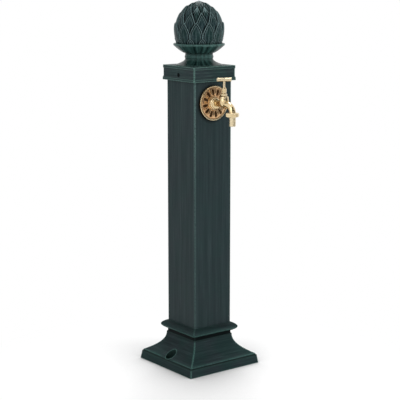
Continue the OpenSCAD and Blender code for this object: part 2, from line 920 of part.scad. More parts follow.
module wall_elbow() {
    run = column_half + elbow_socket_d;
    bore = pipe_r - pipe_wall;
    body_r = pipe_r + elbow_wall;
    color("goldenrod")
        difference() {
            union() {
                outward() {
                    translate([0, 0, elbow_socket_d - elbow_socket_l])
                        cylinder(r = thread_r + elbow_socket_wall, h = elbow_socket_l);
                    translate([0, 0, -column_half]) cylinder(r = body_r, h = run - elbow_socket_floor);
                }
                translate([0, 0, tap_z]) sphere(r = body_r + elbow_knuckle);
                translate([0, 0, elbow_end]) cylinder(r = thread_r, h = joint_thread_l);
                translate([0, 0, elbow_end]) cylinder(r = body_r, h = elbow_drop);
            }
            outward() {
                translate([0, 0, elbow_socket_d - elbow_socket_l + elbow_socket_floor])
                    cylinder(r = thread_r + thread_gap, h = elbow_socket_l + past);
                translate([0, 0, -column_half]) cylinder(r = bore, h = run + past);
            }
            translate([0, 0, elbow_end - past]) cylinder(r = bore, h = elbow_drop + past);
            translate([0, 0, elbow_end - past]) cylinder(r = pipe_r + thread_gap, h = joint_grip + past);
        }
}

module elbow_nut() {
    color("goldenrod") translate([0, 0, elbow_end]) mirror([0, 0, 1]) compression_nut();
}

module elbow_olive() {
    color("goldenrod") translate([0, 0, elbow_end]) mirror([0, 0, 1]) olive();
}

module back_washer() {
    color("silver")
        outward()
            translate([0, 0, -column_wall - back_washer_t])
                tube(thread_r + back_washer_w, boss_bore_r, back_washer_t);
}

module back_nut() {
    color("goldenrod")
        outward()
            translate([0, 0, back_nut_d])
                difference() {
                    hex_bar(2 * (thread_r + back_nut_wall), back_nut_t);
                    translate([0, 0, -past])
                        cylinder(r = thread_r + thread_gap, h = back_nut_t + 2 * past);
                }
}

// Half of the rosette's section: flat back, raised rim, crowned petals and a domed boss
function rosette_outline() =
    let (petal_out = rosette_r - rosette_rim_w - rosette_ramp_w,
         petal_in = rosette_boss_r + petal_gap,
         field = rosette_rim_t - petal_sink)
    concat(
        [[0, 0], [rosette_r - rosette_back_bevel, 0], [rosette_r, rosette_back_bevel],
         [rosette_r, rosette_rim_t - rosette_rim_bevel], [rosette_r - rosette_rim_bevel, rosette_rim_t],
         [rosette_r - rosette_rim_w, rosette_rim_t]],
        [for (i = [0:petal_steps])
            let (t = i / petal_steps)
            [petal_out + (petal_in - petal_out) * t, field + petal_crown * sin(180 * t)]],
        [[rosette_boss_r, field + boss_foot_h]],
        [for (a = [0:15:90])
            [boss_top_r + (rosette_boss_r - boss_top_r) * cos(a),
             rosette_rim_t + (rosette_boss_h - rosette_rim_t) * sin(a)]],
        [[0, rosette_boss_h]]
    );

// The dark slot between two petals: a tapered groove with round ends
module petal_slot() {
    inner_c = rosette_boss_r + slot_in;
    outer_c = rosette_r - slot_out;
    translate([inner_c, 0, 0]) cylinder(r = slot_root_r, h = rosette_rim_t);
    translate([outer_c, 0, 0]) cylinder(r = slot_tip_r, h = rosette_rim_t);
    linear_extrude(rosette_rim_t)
        polygon([
            [inner_c, -slot_root_r], [outer_c, -slot_tip_r],
            [outer_c, slot_tip_r], [inner_c, slot_root_r]
        ]);
}

module rosette() {
    color("#c9a35a")
        outward()
            difference() {
                rotate_extrude() polygon(rosette_outline());
                for (i = [0:petal_count - 1])
                    rotate(360 / petal_count * i) translate([0, 0, slot_floor_t]) petal_slot();
                translate([0, 0, -past]) cylinder(r = boss_bore_r, h = rosette_boss_h + 2 * past);
            }
}

module shank_washer() {
    color("#7a3b2a")
        outward()
            translate([0, 0, rosette_boss_h]) tube(boss_top_r, boss_bore_r, shank_washer_t);
}

// The spout: a straight root out of the barrel, a bend and a short drop, each with its own radius
module spout_bar(root_r, bend_r, start) {
    run = spout_reach - spout_bend - spindle_reach;
    translate([0, spindle_y - start, spout_root_height])
        rotate([90, 0, 0]) cylinder(r = root_r, h = run - start);
    translate([0, spout_y + spout_bend, spout_root_height - spout_bend])
        rotate([90, 0, -90])
            rotate_extrude(angle = 90) translate([spout_bend, 0]) circle(bend_r);
}

// The barrel: a straight wall on a round bottom
module barrel() {
    rotate_extrude()
        intersection() {
            union() {
                circle(barrel_r);
                square([barrel_r, barrel_top - barrel_round_z]);
            }
            translate([0, -barrel_r]) square([barrel_r, barrel_r + barrel_top]);
        }
}

// The shoulder that clamps the rosette: a dome that runs into the inlet neck
module shoulder() {
    root_r = inlet_neck_r - neck_cover;
    rotate_extrude()
        polygon(concat(
            [[0, 0], [shoulder_r, 0]],
            [for (a = [0:15:90])
                [root_r + (shoulder_r - root_r) * cos(a), shoulder_edge_t + shoulder_t * sin(a)]],
            [[0, shoulder_edge_t + shoulder_t]]
        ));
}

module tap_body() {
    chamber_h = barrel_top - seat_z;
    color("#d9b56a")
        difference() {
            union() {
                outward() {
                    translate([0, 0, shank_end_d])
                        cylinder(r = thread_r, h = shoulder_d - shank_end_d);
                    translate([0, 0, shoulder_d]) shoulder();
                    translate([0, 0, shoulder_d]) cylinder(r = inlet_neck_r, h = spindle_reach - shoulder_d);
                }
                on_spindle(tap_z + barrel_round_z) barrel();
                spout_bar(spout_r + spout_root_swell, spout_r, 0);
                on_outlet(outlet_height) {
                    cylinder(r = outlet_thread_r, h = outlet_thread_l - outlet_neck_h);
                    cylinder(r = spout_r + spout_end_swell, h = outlet_thread_l);
                }
            }
            outward()
                translate([0, 0, shank_end_d - past])
                    cylinder(r = inlet_bore_r, h = spindle_reach - shank_end_d + past);
            on_spindle(tap_z) cylinder(r = seat_bore_r, h = barrel_top);
            on_spindle(seat_height) cylinder(r = chamber_r + thread_gap, h = chamber_h + past);
            spout_bar(spout_bore_r, spout_bore_r - spout_bore_step, seat_bore_r + seat_wall);
            on_outlet(outlet_height - past) cylinder(r = spout_bore_r, h = outlet_thread_l + past);
        }
}

module bonnet_washer() {
    color("#7a3b2a")
        on_spindle(mouth_height)
            tube(barrel_r - bonnet_washer_inset, chamber_r + thread_gap, bonnet_washer_t);
}

module bonnet() {
    cavity_h = skirt_l + bonnet_washer_t + collar_h - skirt_wall;
    color("#d9b56a")
        difference() {
            union() {
                on_spindle(mouth_height - skirt_l) cylinder(r = chamber_r, h = skirt_l + 2 * bonnet_washer_t);
                on_spindle(bonnet_z)
                    rotate_extrude()
                        polygon([
                            [0, 0], [collar_r - collar_foot_bevel, 0], [collar_r, collar_foot_bevel],
                            [collar_r, collar_h - collar_top_bevel], [collar_r - collar_top_bevel, collar_h],
                            [0, collar_h]
                        ]);
                on_spindle(bonnet_hex_z) rotate(nut_turn) hex_bar(bonnet_af, bonnet_hex_h);
                on_spindle(spigot_z - eps) cylinder(r = spigot_r, h = spigot_l + eps);
            }
            on_spindle(mouth_height - skirt_l - past)
                cylinder(r = chamber_r - skirt_wall, h = past + cavity_h);
            on_spindle(bonnet_z)
                cylinder(r = spindle_thread_r + thread_gap, h = spigot_z + spigot_l - bonnet_z + past);
        }
}

module gland_packing() {
    color("#5a5a52")
        on_spindle(packing_z) tube(spindle_thread_r, spindle_r + thread_gap, packing_h);
}

module gland_nut() {
    cavity_h = spigot_z + spigot_l - gland_z;
    cone_z = gland_h - gland_cone_sink;
    color("#d9b56a")
        on_spindle(gland_z)
            difference() {
                union() {
                    rotate(nut_turn) hex_bar(gland_af, cone_z);
                    translate([0, 0, cone_z - eps])
                        cylinder(
                            r1 = spindle_r + gland_cone_foot_t,
                            r2 = spindle_r + gland_cone_top_t,
                            h = gland_cone_h
                        );
                }
                translate([0, 0, -past]) cylinder(r = spigot_r + thread_gap, h = cavity_h + past);
                cylinder(r = spindle_r + thread_gap, h = cone_z + gland_cone_h + past);
            }
}

module spindle() {
    top = handle_height + handle_r * spindle_bite_share;
    stem_hole_l = jumper_stem_l + jumper_stem_play;
    color("#d9b56a")
        difference() {
            union() {
                on_spindle(spindle_z) cylinder(r = spindle_thread_r, h = spindle_thread_top - spindle_z);
                on_spindle(spindle_z) cylinder(r = spindle_r, h = top - spindle_z);
            }
            on_spindle(spindle_z - past) cylinder(r = jumper_stem_r + thread_gap, h = stem_hole_l + past);
            handle_pin_bar(handle_pin_r + thread_gap, 2 * handle_r);
        }
}

// A round bar through the handle's middle, square to the T-bar
module handle_pin_bar(r, length) {
    on_spindle(handle_height)
        rotate([90, 0, handle_angle])
            translate([0, 0, -length / 2]) cylinder(r = r, h = length);
}

// The T-bar's outline along its length: a thin middle that swells into rounded ends
function handle_outline() =
    let (half = handle_l / 2,
         mid_r = handle_r - handle_waist,
         ball = half - handle_ball_l,
         mid = ball - handle_taper_l)
    concat(
        [[0, -half]],
        [for (a = [15:15:90]) handle_end(a, -1)],
        [[handle_r, -ball], [mid_r, -mid], [mid_r, mid], [handle_r, ball]],
        [for (a = [90:-15:15]) handle_end(a, 1)],
        [[0, half]]
    );

// A point of the T-bar's rounded end, on either side
function handle_end(a, side) = [
    handle_r - handle_end_round * (1 - sin(a)),
    side * (handle_l / 2 - handle_end_round * (1 - cos(a)))
];

module tee_handle() {
    socket_h = handle_r * (1 + spindle_bite_share) + thread_gap;
    color("#e6c987")
        difference() {
            on_spindle(handle_height)
                rotate([0, 90, handle_angle]) rotate_extrude() polygon(handle_outline());
            on_spindle(handle_height - handle_r - past)
                cylinder(r = spindle_r + thread_gap, h = past + socket_h);
            handle_pin_bar(handle_pin_r + thread_gap, 3 * handle_r);
        }
}

module handle_pin() {
    color("silver") handle_pin_bar(handle_pin_r, 2 * (handle_r - handle_pin_sink));
}

module jumper_valve() {
    color("#c9a35a") {
        on_spindle(jumper_z) cylinder(r = jumper_disc_r, h = jumper_disc_h);
        on_spindle(jumper_z) cylinder(r = jumper_stem_r, h = jumper_disc_h + jumper_stem_l);
    }
}

module valve_washer() {
    color("#222222")
        on_spindle(washer_z)
            cylinder(r = jumper_disc_r - valve_washer_inset, h = valve_washer_t);
}

module union_nut() {
    color("#e6c987")
        on_outlet(union_z)
            difference() {
                rotate(nut_turn) hex_bar(union_af, union_h);
                translate([0, 0, union_floor_t]) cylinder(r = outlet_thread_r + thread_gap, h = union_h);
                translate([0, 0, -past]) cylinder(r = tail_r + slip_gap, h = union_h);
            }
}

module hose_tail() {
    color("#e6c987")
        on_outlet(union_z - tail_l)
            difference() {
                rotate_extrude()
                    polygon([
                        [0, 0], [tail_r - tail_bevel, 0], [tail_r, tail_bevel],
                        [tail_r, tail_l], [tail_r - tail_relief, tail_l],
                        [tail_r - tail_relief, tail_l + union_floor_t],
                        [tail_flange_r, tail_l + union_floor_t],
                        [tail_flange_r, tail_l + union_floor_t + tail_flange_t],
                        [0, tail_l + union_floor_t + tail_flange_t]
                    ]);
                translate([0, 0, -past])
                    cylinder(r = tail_bore_r, h = tail_l + union_floor_t + tail_flange_t + 2 * past);
            }
}

module hose_washer() {
    color("#222222") on_outlet(hose_washer_z) tube(tail_flange_r, tail_bore_r, hose_washer_t);
}

base_foot();
column();
column_screws();
cap();
cap_screws();
finial_pedestal();
finial_cone();
finial_stud();
finial_washer();
finial_nut();
supply_connector();
supply_nut();
supply_olive();
riser_pipe();
pipe_grommet();
wall_elbow();
elbow_nut();
elbow_olive();
back_washer();
back_nut();
rosette();
shank_washer();
tap_body();
bonnet_washer();
bonnet();
gland_packing();
gland_nut();
spindle();
tee_handle();
handle_pin();
jumper_valve();
valve_washer();
union_nut();
hose_tail();
hose_washer();
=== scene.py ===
"""Looks of a garden standpipe: a cast square column with a pine-cone finial and a brass bib tap.

Shapes are worked out in millimetres in the part's own frame, with +Z up and the tap on -Y, and turn
into metres when they become meshes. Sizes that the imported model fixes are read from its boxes.
"""

import functools
import logging
import math
from collections.abc import Callable
from dataclasses import dataclass, replace
from enum import Enum
from typing import Protocol

import bpy
import numpy as np
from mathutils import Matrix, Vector
from numpy.typing import NDArray


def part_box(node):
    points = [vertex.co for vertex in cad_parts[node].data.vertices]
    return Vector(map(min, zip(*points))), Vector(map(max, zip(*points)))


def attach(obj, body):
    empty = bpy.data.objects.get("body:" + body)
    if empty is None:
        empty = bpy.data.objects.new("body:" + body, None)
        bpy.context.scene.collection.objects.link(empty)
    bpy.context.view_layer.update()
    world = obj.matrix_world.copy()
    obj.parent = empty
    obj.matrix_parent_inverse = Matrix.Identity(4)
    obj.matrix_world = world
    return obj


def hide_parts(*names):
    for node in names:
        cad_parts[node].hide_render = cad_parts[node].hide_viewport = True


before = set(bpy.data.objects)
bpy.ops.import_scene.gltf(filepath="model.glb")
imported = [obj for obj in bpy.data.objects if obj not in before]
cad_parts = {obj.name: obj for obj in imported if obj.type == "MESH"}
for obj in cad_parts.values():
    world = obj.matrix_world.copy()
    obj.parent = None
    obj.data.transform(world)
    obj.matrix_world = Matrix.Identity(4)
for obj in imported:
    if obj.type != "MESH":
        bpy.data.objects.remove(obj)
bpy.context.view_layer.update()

Array = NDArray[np.float64]
Index = NDArray[np.int64]
Colour = tuple[float, float, float]
Point = tuple[float, float, float]
Range = tuple[float, float]
Socket = bpy.types.NodeSocket
Value = Socket | float | tuple[float, ...]

# Metres in a millimetre, and the distances at which points count as one and sides as too short
MM = 0.001
WELD_MM = 1e-4
SHORT_MM = 10 * WELD_MM
# How far a cutter runs past a face, and how much joined shapes overlap
PAST_MM = 1.0
# The most of a side that the rounding of a corner takes
HALF_SIDE = 0.45
# How wide an edge is rubbed, and the climb over which a square's corner starts to wear
EDGE_SPREAD_MM = 1.0
LEVEL_TO_STEEP = (0.05, 0.35)
# Points round a square's corner, and shares of its side where it has points
ARC_STOPS = 7
SIDE_STOPS = (0.008, 0.02, 0.045, 0.1, 0.2, 0.35, 0.5, 0.65, 0.8, 0.9, 0.955, 0.98, 0.992)
# Edges that turn by more degrees stay sharp
SMOOTH_ANGLE = 38.0
# The percentile of a casting's bends that counts as fully worn, or as fully grimy and shaded
FULL_BEND = 98
TINY = 1e-12
QUARTER = 0.5 * math.pi

log = logging.getLogger("standpipe")


class Body(Enum):
    """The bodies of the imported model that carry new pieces."""

    STANDPIPE = "standpipe"
    HANDLE = "handle"


class Slot(Enum):
    """The record's material slots for the new pieces, passed along but not set on them."""

    CAST = "cast_green"
    POLISHED = "polished_brass"
    ANTIQUE = "antique_brass"
    FIBRE = "fibre"


class Stroke(Enum):
    """Which way the dry brush went: repeats per metre of the streaks along X, Y and Z."""

    UPRIGHT = (140.0, 140.0, 5.0)
    LEVEL = (9.0, 9.0, 330.0)
    RAYS = (8.6, 8.6, 8.6)
    VEINED = (330.0, 330.0, 42.0)


def span(node: str) -> tuple[Array, Array]:
    """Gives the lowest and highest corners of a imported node, in millimetres."""
    low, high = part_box(node)
    return np.array(low) / MM, np.array(high) / MM


def middle(node: str) -> Array:
    """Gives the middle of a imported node's box, in millimetres."""
    low, high = span(node)
    return 0.5 * (low + high)


def grey(tone: float) -> tuple[float, float, float, float]:
    """Gives a grey of a tone, from black at 0 to white at 1."""
    return (tone, tone, tone, 1.0)


def bell(distance: Array, width: float) -> Array:
    """Gives 1 at no distance and falls off as exp(-(distance / width) squared)."""
    return np.exp(-((distance / width) ** 2))


def ease(value: Array, low: float, high: float) -> Array:
    """Rises smoothly from 0 at low to 1 at high, as 3t^2 - 2t^3."""
    t = np.clip((value - low) / (high - low), 0.0, 1.0)
    return t * t * (3.0 - 2.0 * t)


@dataclass(frozen=True)
class Seat:
    """Where a shape's own axes stand in the part: its origin and the directions of its X, Y and Z."""

    origin: Point
    x: Point = (1.0, 0.0, 0.0)
    y: Point = (0.0, 1.0, 0.0)
    z: Point = (0.0, 0.0, 1.0)


@dataclass
class Shell:
    """A closed surface, four corners a face, with each point's wear and painted highlight, and its grime
    and painted shade.
    """

    points: Array
    faces: Index
    wear_and_highlight: Array
    grime_and_shade: Array

    def outward(self) -> "Shell":
        """Turns the faces round if they point inwards, as the sign of the enclosed volume tells.

        Returns:
            The shell with its faces outward.
        """
        a, b, c, d = (self.points[self.faces[:, k]] for k in range(4))
        volume = np.sum(a * np.cross(b, c)) + np.sum(a * np.cross(c, d))
        return self if volume > 0.0 else replace(self, faces=self.faces[:, ::-1])

    def placed(self, seat: Seat) -> "Shell":
        """Moves the shell from its own axes to a seat in the part."""
        axes = np.array((seat.x, seat.y, seat.z))
        return replace(self, points=self.points @ axes + np.array(seat.origin)).outward()

    def joined(self, *others: "Shell") -> "Shell":
        """Puts further shells beside this one, each still closed by itself.

        Args:
            others: The further shells.

        Returns:
            All of them as one shell.
        """
        shells = (self, *others)
        starts = np.cumsum([0] + [len(shell.points) for shell in shells[:-1]])
        return Shell(
            np.concatenate([shell.points for shell in shells]),
            np.concatenate([shell.faces + start for shell, start in zip(shells, starts)]),
            np.concatenate([shell.wear_and_highlight for shell in shells]),
            np.concatenate([shell.grime_and_shade for shell in shells]),
        )


def grid_shell(points: Array, wear_and_highlight: Array, grime_and_shade: Array, closed_rows: bool = True) -> Shell:
    """Turns a grid of points into a shell with outward faces.

    Each point joins the next along both directions of the grid, and the columns always close into a
    ring. Points that fall together are welded, so a row that is drawn to one point becomes a pole.

    Args:
        points: The grid, as rows by columns by three.
        wear_and_highlight: Wear and painted highlight, of a shape that spreads over rows by columns.
        grime_and_shade: Grime and painted shade, likewise.
        closed_rows: Whether the last row joins the first.

    Returns:
        The welded shell.
    """
    rows, columns = points.shape[:2]
    i = np.arange(rows if closed_rows else rows - 1)[:, None]
    j = np.arange(columns)[None, :]
    up, on = (i + 1) % rows, (j + 1) % columns
    corners = (i * columns + j, i * columns + on, up * columns + on, up * columns + j)
    faces = np.stack(np.broadcast_arrays(*corners), axis=-1).reshape(-1, 4)
    flat = points.reshape(-1, 3)
    keys = np.round(flat / WELD_MM).astype(np.int64)
    _, first, place = np.unique(keys, axis=0, return_index=True, return_inverse=True)
    spread = [np.broadcast_to(value, (rows, columns)).reshape(-1)[first] for value in (wear_and_highlight, grime_and_shade)]
    return Shell(flat[first], place.reshape(-1)[faces], *spread).outward()


@dataclass
class Outline:
    """A closed outline of reach, height and corner radius, anticlockwise round the solid."""

    points: Array

    @classmethod
    def of(cls, *stretches: Array | list[tuple[float, ...]], corner: float = 0.0) -> "Outline":
        """Joins stretches of points into one outline.

        Args:
            stretches: Points as reach and height, or with a corner radius of their own.
            corner: The corner radius of the points that have none.

        Returns:
            The joined outline.
        """
        rows = [np.atleast_2d(np.asarray(stretch, dtype=float)) for stretch in stretches]
        full = [
            row if row.shape[1] == 3 else np.column_stack((row, np.full(len(row), corner)))
            for row in rows
        ]
        return cls(np.concatenate(full))

    def rounded(self, radius: float, sharpest: float = 12.0, stops: int = 5) -> "Outline":
        """Rounds the corners that turn by more than a small angle.

        A corner C becomes (1-t)^2 A + 2t(1-t) C + t^2 B, where A and B lie the radius before and
        after it on its two sides, or nearer where a side is short.

        Args:
            radius: How far the rounding reaches along each side.
            sharpest: The turn in degrees up to which a point is left as part of a curve.
            stops: Points on each rounded corner.

        Returns:
            The rounded outline.
        """
        here = self.points
        reach = np.where(np.abs(self.turns()) > math.radians(sharpest), radius, 0.0)[:, None]
        ends = []
        for shift in (1, -1):
            side = np.roll(here, shift, axis=0) - here
            length = np.maximum(np.linalg.norm(side[:, :2], axis=1, keepdims=True), WELD_MM)
            ends.append((here + side * np.minimum(reach / length, HALF_SIDE))[:, None])
        t = np.linspace(0.0, 1.0, stops)[None, :, None]
        curve = (1 - t) ** 2 * ends[0] + 2 * t * (1 - t) * here[:, None] + t**2 * ends[1]
        flat = curve.reshape(-1, 3)
        fresh = np.linalg.norm(flat - np.roll(flat, 1, axis=0), axis=1) > SHORT_MM
        return Outline(flat[fresh])

    def spaced(self, step: float) -> "Outline":
        """Adds points so that none lie further apart than about a step along the outline.

        Args:
            step: The step in millimetres.

        Returns:
            The outline with its own points and the added ones.
        """
        along, total = self.along()
        loop = np.vstack((self.points, self.points[:1]))
        ends = np.append(along, total)
        extra = np.arange(0.0, total, step)
        clear = np.abs(extra[:, None] - ends[None, :]).min(axis=1) > step / 3
        stops = np.union1d(along, extra[clear])
        return Outline(np.column_stack([np.interp(stops, ends, loop[:, k]) for k in range(3)]))

    def along(self) -> tuple[Array, float]:
        """Gives each point's distance along the outline, and the whole length."""
        ends = np.cumsum(np.linalg.norm(np.roll(self.points, -1, axis=0) - self.points, axis=1))
        return np.concatenate(([0.0], ends[:-1])), float(ends[-1])

    def turns(self) -> Array:
        """Measures the angle from the side before a point to the side after it.

        Returns:
            The turn to the left at each point, in radians.
        """
        flat = self.points[:, :2]
        back, ahead = flat - np.roll(flat, 1, axis=0), np.roll(flat, -1, axis=0) - flat
        cross = back[:, 0] * ahead[:, 1] - back[:, 1] * ahead[:, 0]
        return np.arctan2(cross, np.sum(back * ahead, axis=1))

    def climb(self) -> Array:
        """Gives 0 at points where the outline runs level, rising to 1 where it climbs or falls."""
        run, rise = (np.roll(self.points, -1, axis=0) - np.roll(self.points, 1, axis=0))[:, :2].T
        return ease(np.abs(rise) / np.maximum(np.hypot(run, rise), WELD_MM), *LEVEL_TO_STEEP)

    def paint(self) -> tuple[Array, Array]:
        """Finds the worn edges, and the inside corners that take grime and painted shade.

        The outline's turn is spread along its length by a bell curve: left turns are edges that
        rub bare and right turns are corners that take tarnish on brass and painted shade on paint.

        Returns:
            How worn each point is, and how much grime and painted shade it takes.
        """
        along, total = self.along()
        gap = np.abs(along[:, None] - along[None, :])
        bent = bell(np.minimum(gap, total - gap), EDGE_SPREAD_MM) @ self.turns()
        return np.clip(bent, 0.0, 1.0), np.clip(-bent, 0.0, 1.0)


Section = Callable[[Array, Array], Array]


def lathe(outline: Outline, segments: int = 96, section: Section | None = None) -> Shell:
    """Turns an outline about Z: a point of reach r and height z is (r cos a, r sin a, z).

    Args:
        outline: The outline, whose reach is the radius.
        segments: Steps round the turn.
        section: Pulls the radius in or out as a function of radius and angle, such as to flats.

    Returns:
        The turned shell.
    """
    angle = np.linspace(0.0, 2.0 * math.pi, segments, endpoint=False)[None, :]
    reach = np.repeat(outline.points[:, :1], segments, axis=1)
    if section is not None:
        reach = section(reach, angle)
    height = np.broadcast_to(outline.points[:, 1:2], reach.shape)
    wear_and_highlight, grime_and_shade = outline.paint()
    points = np.stack((reach * np.cos(angle), reach * np.sin(angle), height), axis=-1)
    return grid_shell(points, wear_and_highlight[:, None], grime_and_shade[:, None])


def square_sweep(outline: Outline) -> Shell:
    """Carries an outline round a square with rounded corners.

    With reach h and corner radius c, a point of the ring is A (h - c) + B c: A runs round the unit
    square and B round the unit circle, square to the side along the sides. The corners are worn
    where the outline climbs, and not where it runs level.

    Args:
        outline: The outline, whose reach is half the square's width.

    Returns:
        The swept shell.
    """
    quarter = np.linspace(0.0, QUARTER, ARC_STOPS)
    side = np.array(SIDE_STOPS)
    a = np.concatenate((np.ones((ARC_STOPS, 2)), np.column_stack((1 - 2 * side, np.ones_like(side)))))
    b = np.concatenate((
        np.column_stack((np.cos(quarter), np.sin(quarter))),
        np.column_stack((np.zeros_like(side), np.ones_like(side))),
    ))
    spin = np.array([[0.0, 1.0], [-1.0, 0.0]])
    spins = [np.linalg.matrix_power(spin, k) for k in range(4)]
    a, b = (np.concatenate([part @ turn for turn in spins]) for part in (a, b))
    share = np.tile(np.concatenate((np.zeros(ARC_STOPS), np.minimum(side, 1 - side))), 4)
    reach, height, corner = (outline.points[:, k][:, None] for k in range(3))
    flat = a[None] * (reach - corner)[..., None] + b[None] * corner[..., None]
    points = np.concatenate((flat, np.broadcast_to(height, flat.shape[:2])[..., None]), axis=-1)
    wear_and_highlight, grime_and_shade = outline.paint()
    mitre = bell(share[None, :] * 2.0 * (reach - corner), EDGE_SPREAD_MM) * outline.climb()[:, None]
    return grid_shell(points, np.maximum(wear_and_highlight[:, None], mitre), grime_and_shade[:, None])


@dataclass(frozen=True)
class Hexagon:
    """Flats across a turned shape, as a section for the lathe."""

    across: float
    turn: float
    crispness: float = 44.0

    @property
    def corner(self) -> float:
        """The radius at which two flats would meet."""
        return self.across / math.sqrt(3.0)

    def __call__(self, reach: Array, angle: Array) -> Array:
        """Keeps the radius within the flats.

        The flats lie at half their width over the cosines to their three normals, summed as high
        powers, which rounds their corners a little.

        Args:
            reach: The radius of each point.
            angle: The angle of each point.

        Returns:
            The radius, held in to the flats.
        """
        normals = np.arange(3) * math.pi / 3 + math.radians(self.turn)
        facing = np.abs(np.cos(angle[..., None] - normals)) ** self.crispness
        flats = self.across / 2 / np.sum(facing, axis=-1) ** (1 / self.crispness)
        return np.minimum(reach, flats)


@dataclass(frozen=True)
class FlatBand:
    """Flats on a stretch of a turned outline only, as a section for the lathe."""

    hexagon: Hexagon
    outline: Outline
    low: float
    high: float

    def __call__(self, reach: Array, angle: Array) -> Array:
        """Keeps the radius within the flats between the two heights."""
        height = self.outline.points[:, 1:2]
        return np.where((height >= self.low) & (height <= self.high), self.hexagon(reach, angle), reach)


def round_bar(radius: float, low: float, high: float, seat: Seat, segments: int = 48) -> Shell:
    """Makes a plain round bar between two heights of a seat; a hole that it carves has painted shade on its
    walls.

    Args:
        radius: The bar's radius.
        low: Where it starts along the seat's Z.
        high: Where it ends.
        seat: The axes that it stands on.
        segments: Steps round it.

    Returns:
        The bar, with painted shade all over.
    """
    bar = Outline.of([(0.0, low), (radius, low), (radius, high), (0.0, high)])
    shell = lathe(bar, segments).placed(seat)
    # Painted shade: the bar is marked fully shaded, for the walls of the holes it cuts
    return replace(shell, wear_and_highlight=np.zeros_like(shell.wear_and_highlight), grime_and_shade=np.ones_like(shell.grime_and_shade))


def put(name: str, data: bpy.types.ID) -> bpy.types.Object:
    """Puts a mesh, light or camera into the scene.

    Args:
        name: The object's name.
        data: What it shows.

    Returns:
        The object.
    """
    thing = bpy.data.objects.new(name, data)
    bpy.context.scene.collection.objects.link(thing)
    return thing


def mesh_object(name: str, shell: Shell) -> bpy.types.Object:
    """Puts a shell into a new mesh object; a face with a repeated corner loses it.

    Args:
        name: The name of the object and of its mesh.
        shell: The shell in millimetres.

    Returns:
        The object in metres, with wear and painted highlight, and grime and painted shade, as attributes of
        its points.
    """
    used = shell.faces != np.roll(shell.faces, -1, axis=1)
    counts = used.sum(axis=1)
    real = counts >= 3
    corners = shell.faces[real][used[real]]
    starts = np.concatenate(([0], np.cumsum(counts[real])[:-1]))
    mesh = bpy.data.meshes.new(name)
    mesh.vertices.add(len(shell.points))
    mesh.vertices.foreach_set("co", (shell.points * MM).astype(np.float32).ravel())
    mesh.loops.add(len(corners))
    mesh.loops.foreach_set("vertex_index", corners.astype(np.int32))
    mesh.polygons.add(len(starts))
    mesh.polygons.foreach_set("loop_start", starts.astype(np.int32))
    mesh.update(calc_edges=True)
    mesh.validate()
    for key in ("wear_and_highlight", "grime_and_shade"):
        values = getattr(shell, key).astype(np.float32)
        mesh.attributes.new(key, "FLOAT", "POINT").data.foreach_set("value", values)
    return put(name, mesh)


def settle(piece: bpy.types.Object) -> None:
    """Applies a piece's modifiers to its mesh for good.

    Args:
        piece: The object whose mesh is replaced.
    """
    depsgraph = bpy.context.evaluated_depsgraph_get()
    fresh = bpy.data.meshes.new_from_object(piece.evaluated_get(depsgraph))
    plain, piece.data = piece.data, fresh
    piece.modifiers.clear()
    bpy.data.meshes.remove(plain)


def turned(
    name: str, outline: Outline, seat: Seat, segments: int, section: Section | None = None,
) -> bpy.types.Object:
    """Turns an outline about a seat's Z and puts it into a new mesh object."""
    return mesh_object(name, lathe(outline, segments, section).placed(seat))


def carve(piece: bpy.types.Object, *cutters: Shell) -> None:
    """Cuts closed shells out of a piece, one after the other.

    Args:
        piece: The object to carve.
        cutters: What is cut away, and gives the walls that it leaves its own wear and painted shade.
    """
    for cutter in cutters:
        tool = mesh_object("cutter", cutter)
        cut = piece.modifiers.new("carve", "BOOLEAN")
        cut.operation = "DIFFERENCE"
        cut.solver = "MANIFOLD"
        cut.object = tool
        weld = piece.modifiers.new("weld", "WELD")
        weld.merge_threshold = SHORT_MM * MM
        settle(piece)
        spare = tool.data
        bpy.data.objects.remove(tool)
        bpy.data.meshes.remove(spare)


def shell_of(piece: bpy.types.Object) -> Shell:
    """Takes a carved tool's mesh back as a shell of triangles and removes the object.

    Args:
        piece: The tool in metres.

    Returns:
        The shell in millimetres, neither worn nor grimy.
    """
    mesh = piece.data
    mesh.calc_loop_triangles()
    points = np.empty(len(mesh.vertices) * 3, np.float32)
    mesh.vertices.foreach_get("co", points)
    corners = np.empty(len(mesh.loop_triangles) * 3, np.int32)
    mesh.loop_triangles.foreach_get("vertices", corners)
    faces = corners.reshape(-1, 3).astype(np.int64)
    bare = np.zeros(len(mesh.vertices))
    bpy.data.objects.remove(piece)
    bpy.data.meshes.remove(mesh)
    flat = points.reshape(-1, 3).astype(float) / MM
    return Shell(flat, np.column_stack((faces, faces[:, 2])), bare, bare)


def fuse(piece: bpy.types.Object, voxel: float, rounds: int) -> None:
    """Melts overlapping shells into one skin and softens its creases, as in a casting.

    Args:
        piece: The object whose mesh holds the shells.
        voxel: The grain of the skin in millimetres.
        rounds: How often the skin is softened.
    """
    melt = piece.modifiers.new("melt", "REMESH")
    melt.mode = "VOXEL"
    melt.voxel_size = voxel * MM
    soften = piece.modifiers.new("soften", "SMOOTH")
    soften.factor = 0.5
    soften.iterations = rounds
    settle(piece)
    # Grime and painted shade go into the creases, wear onto the bumps
    paint_hollows(piece.data)


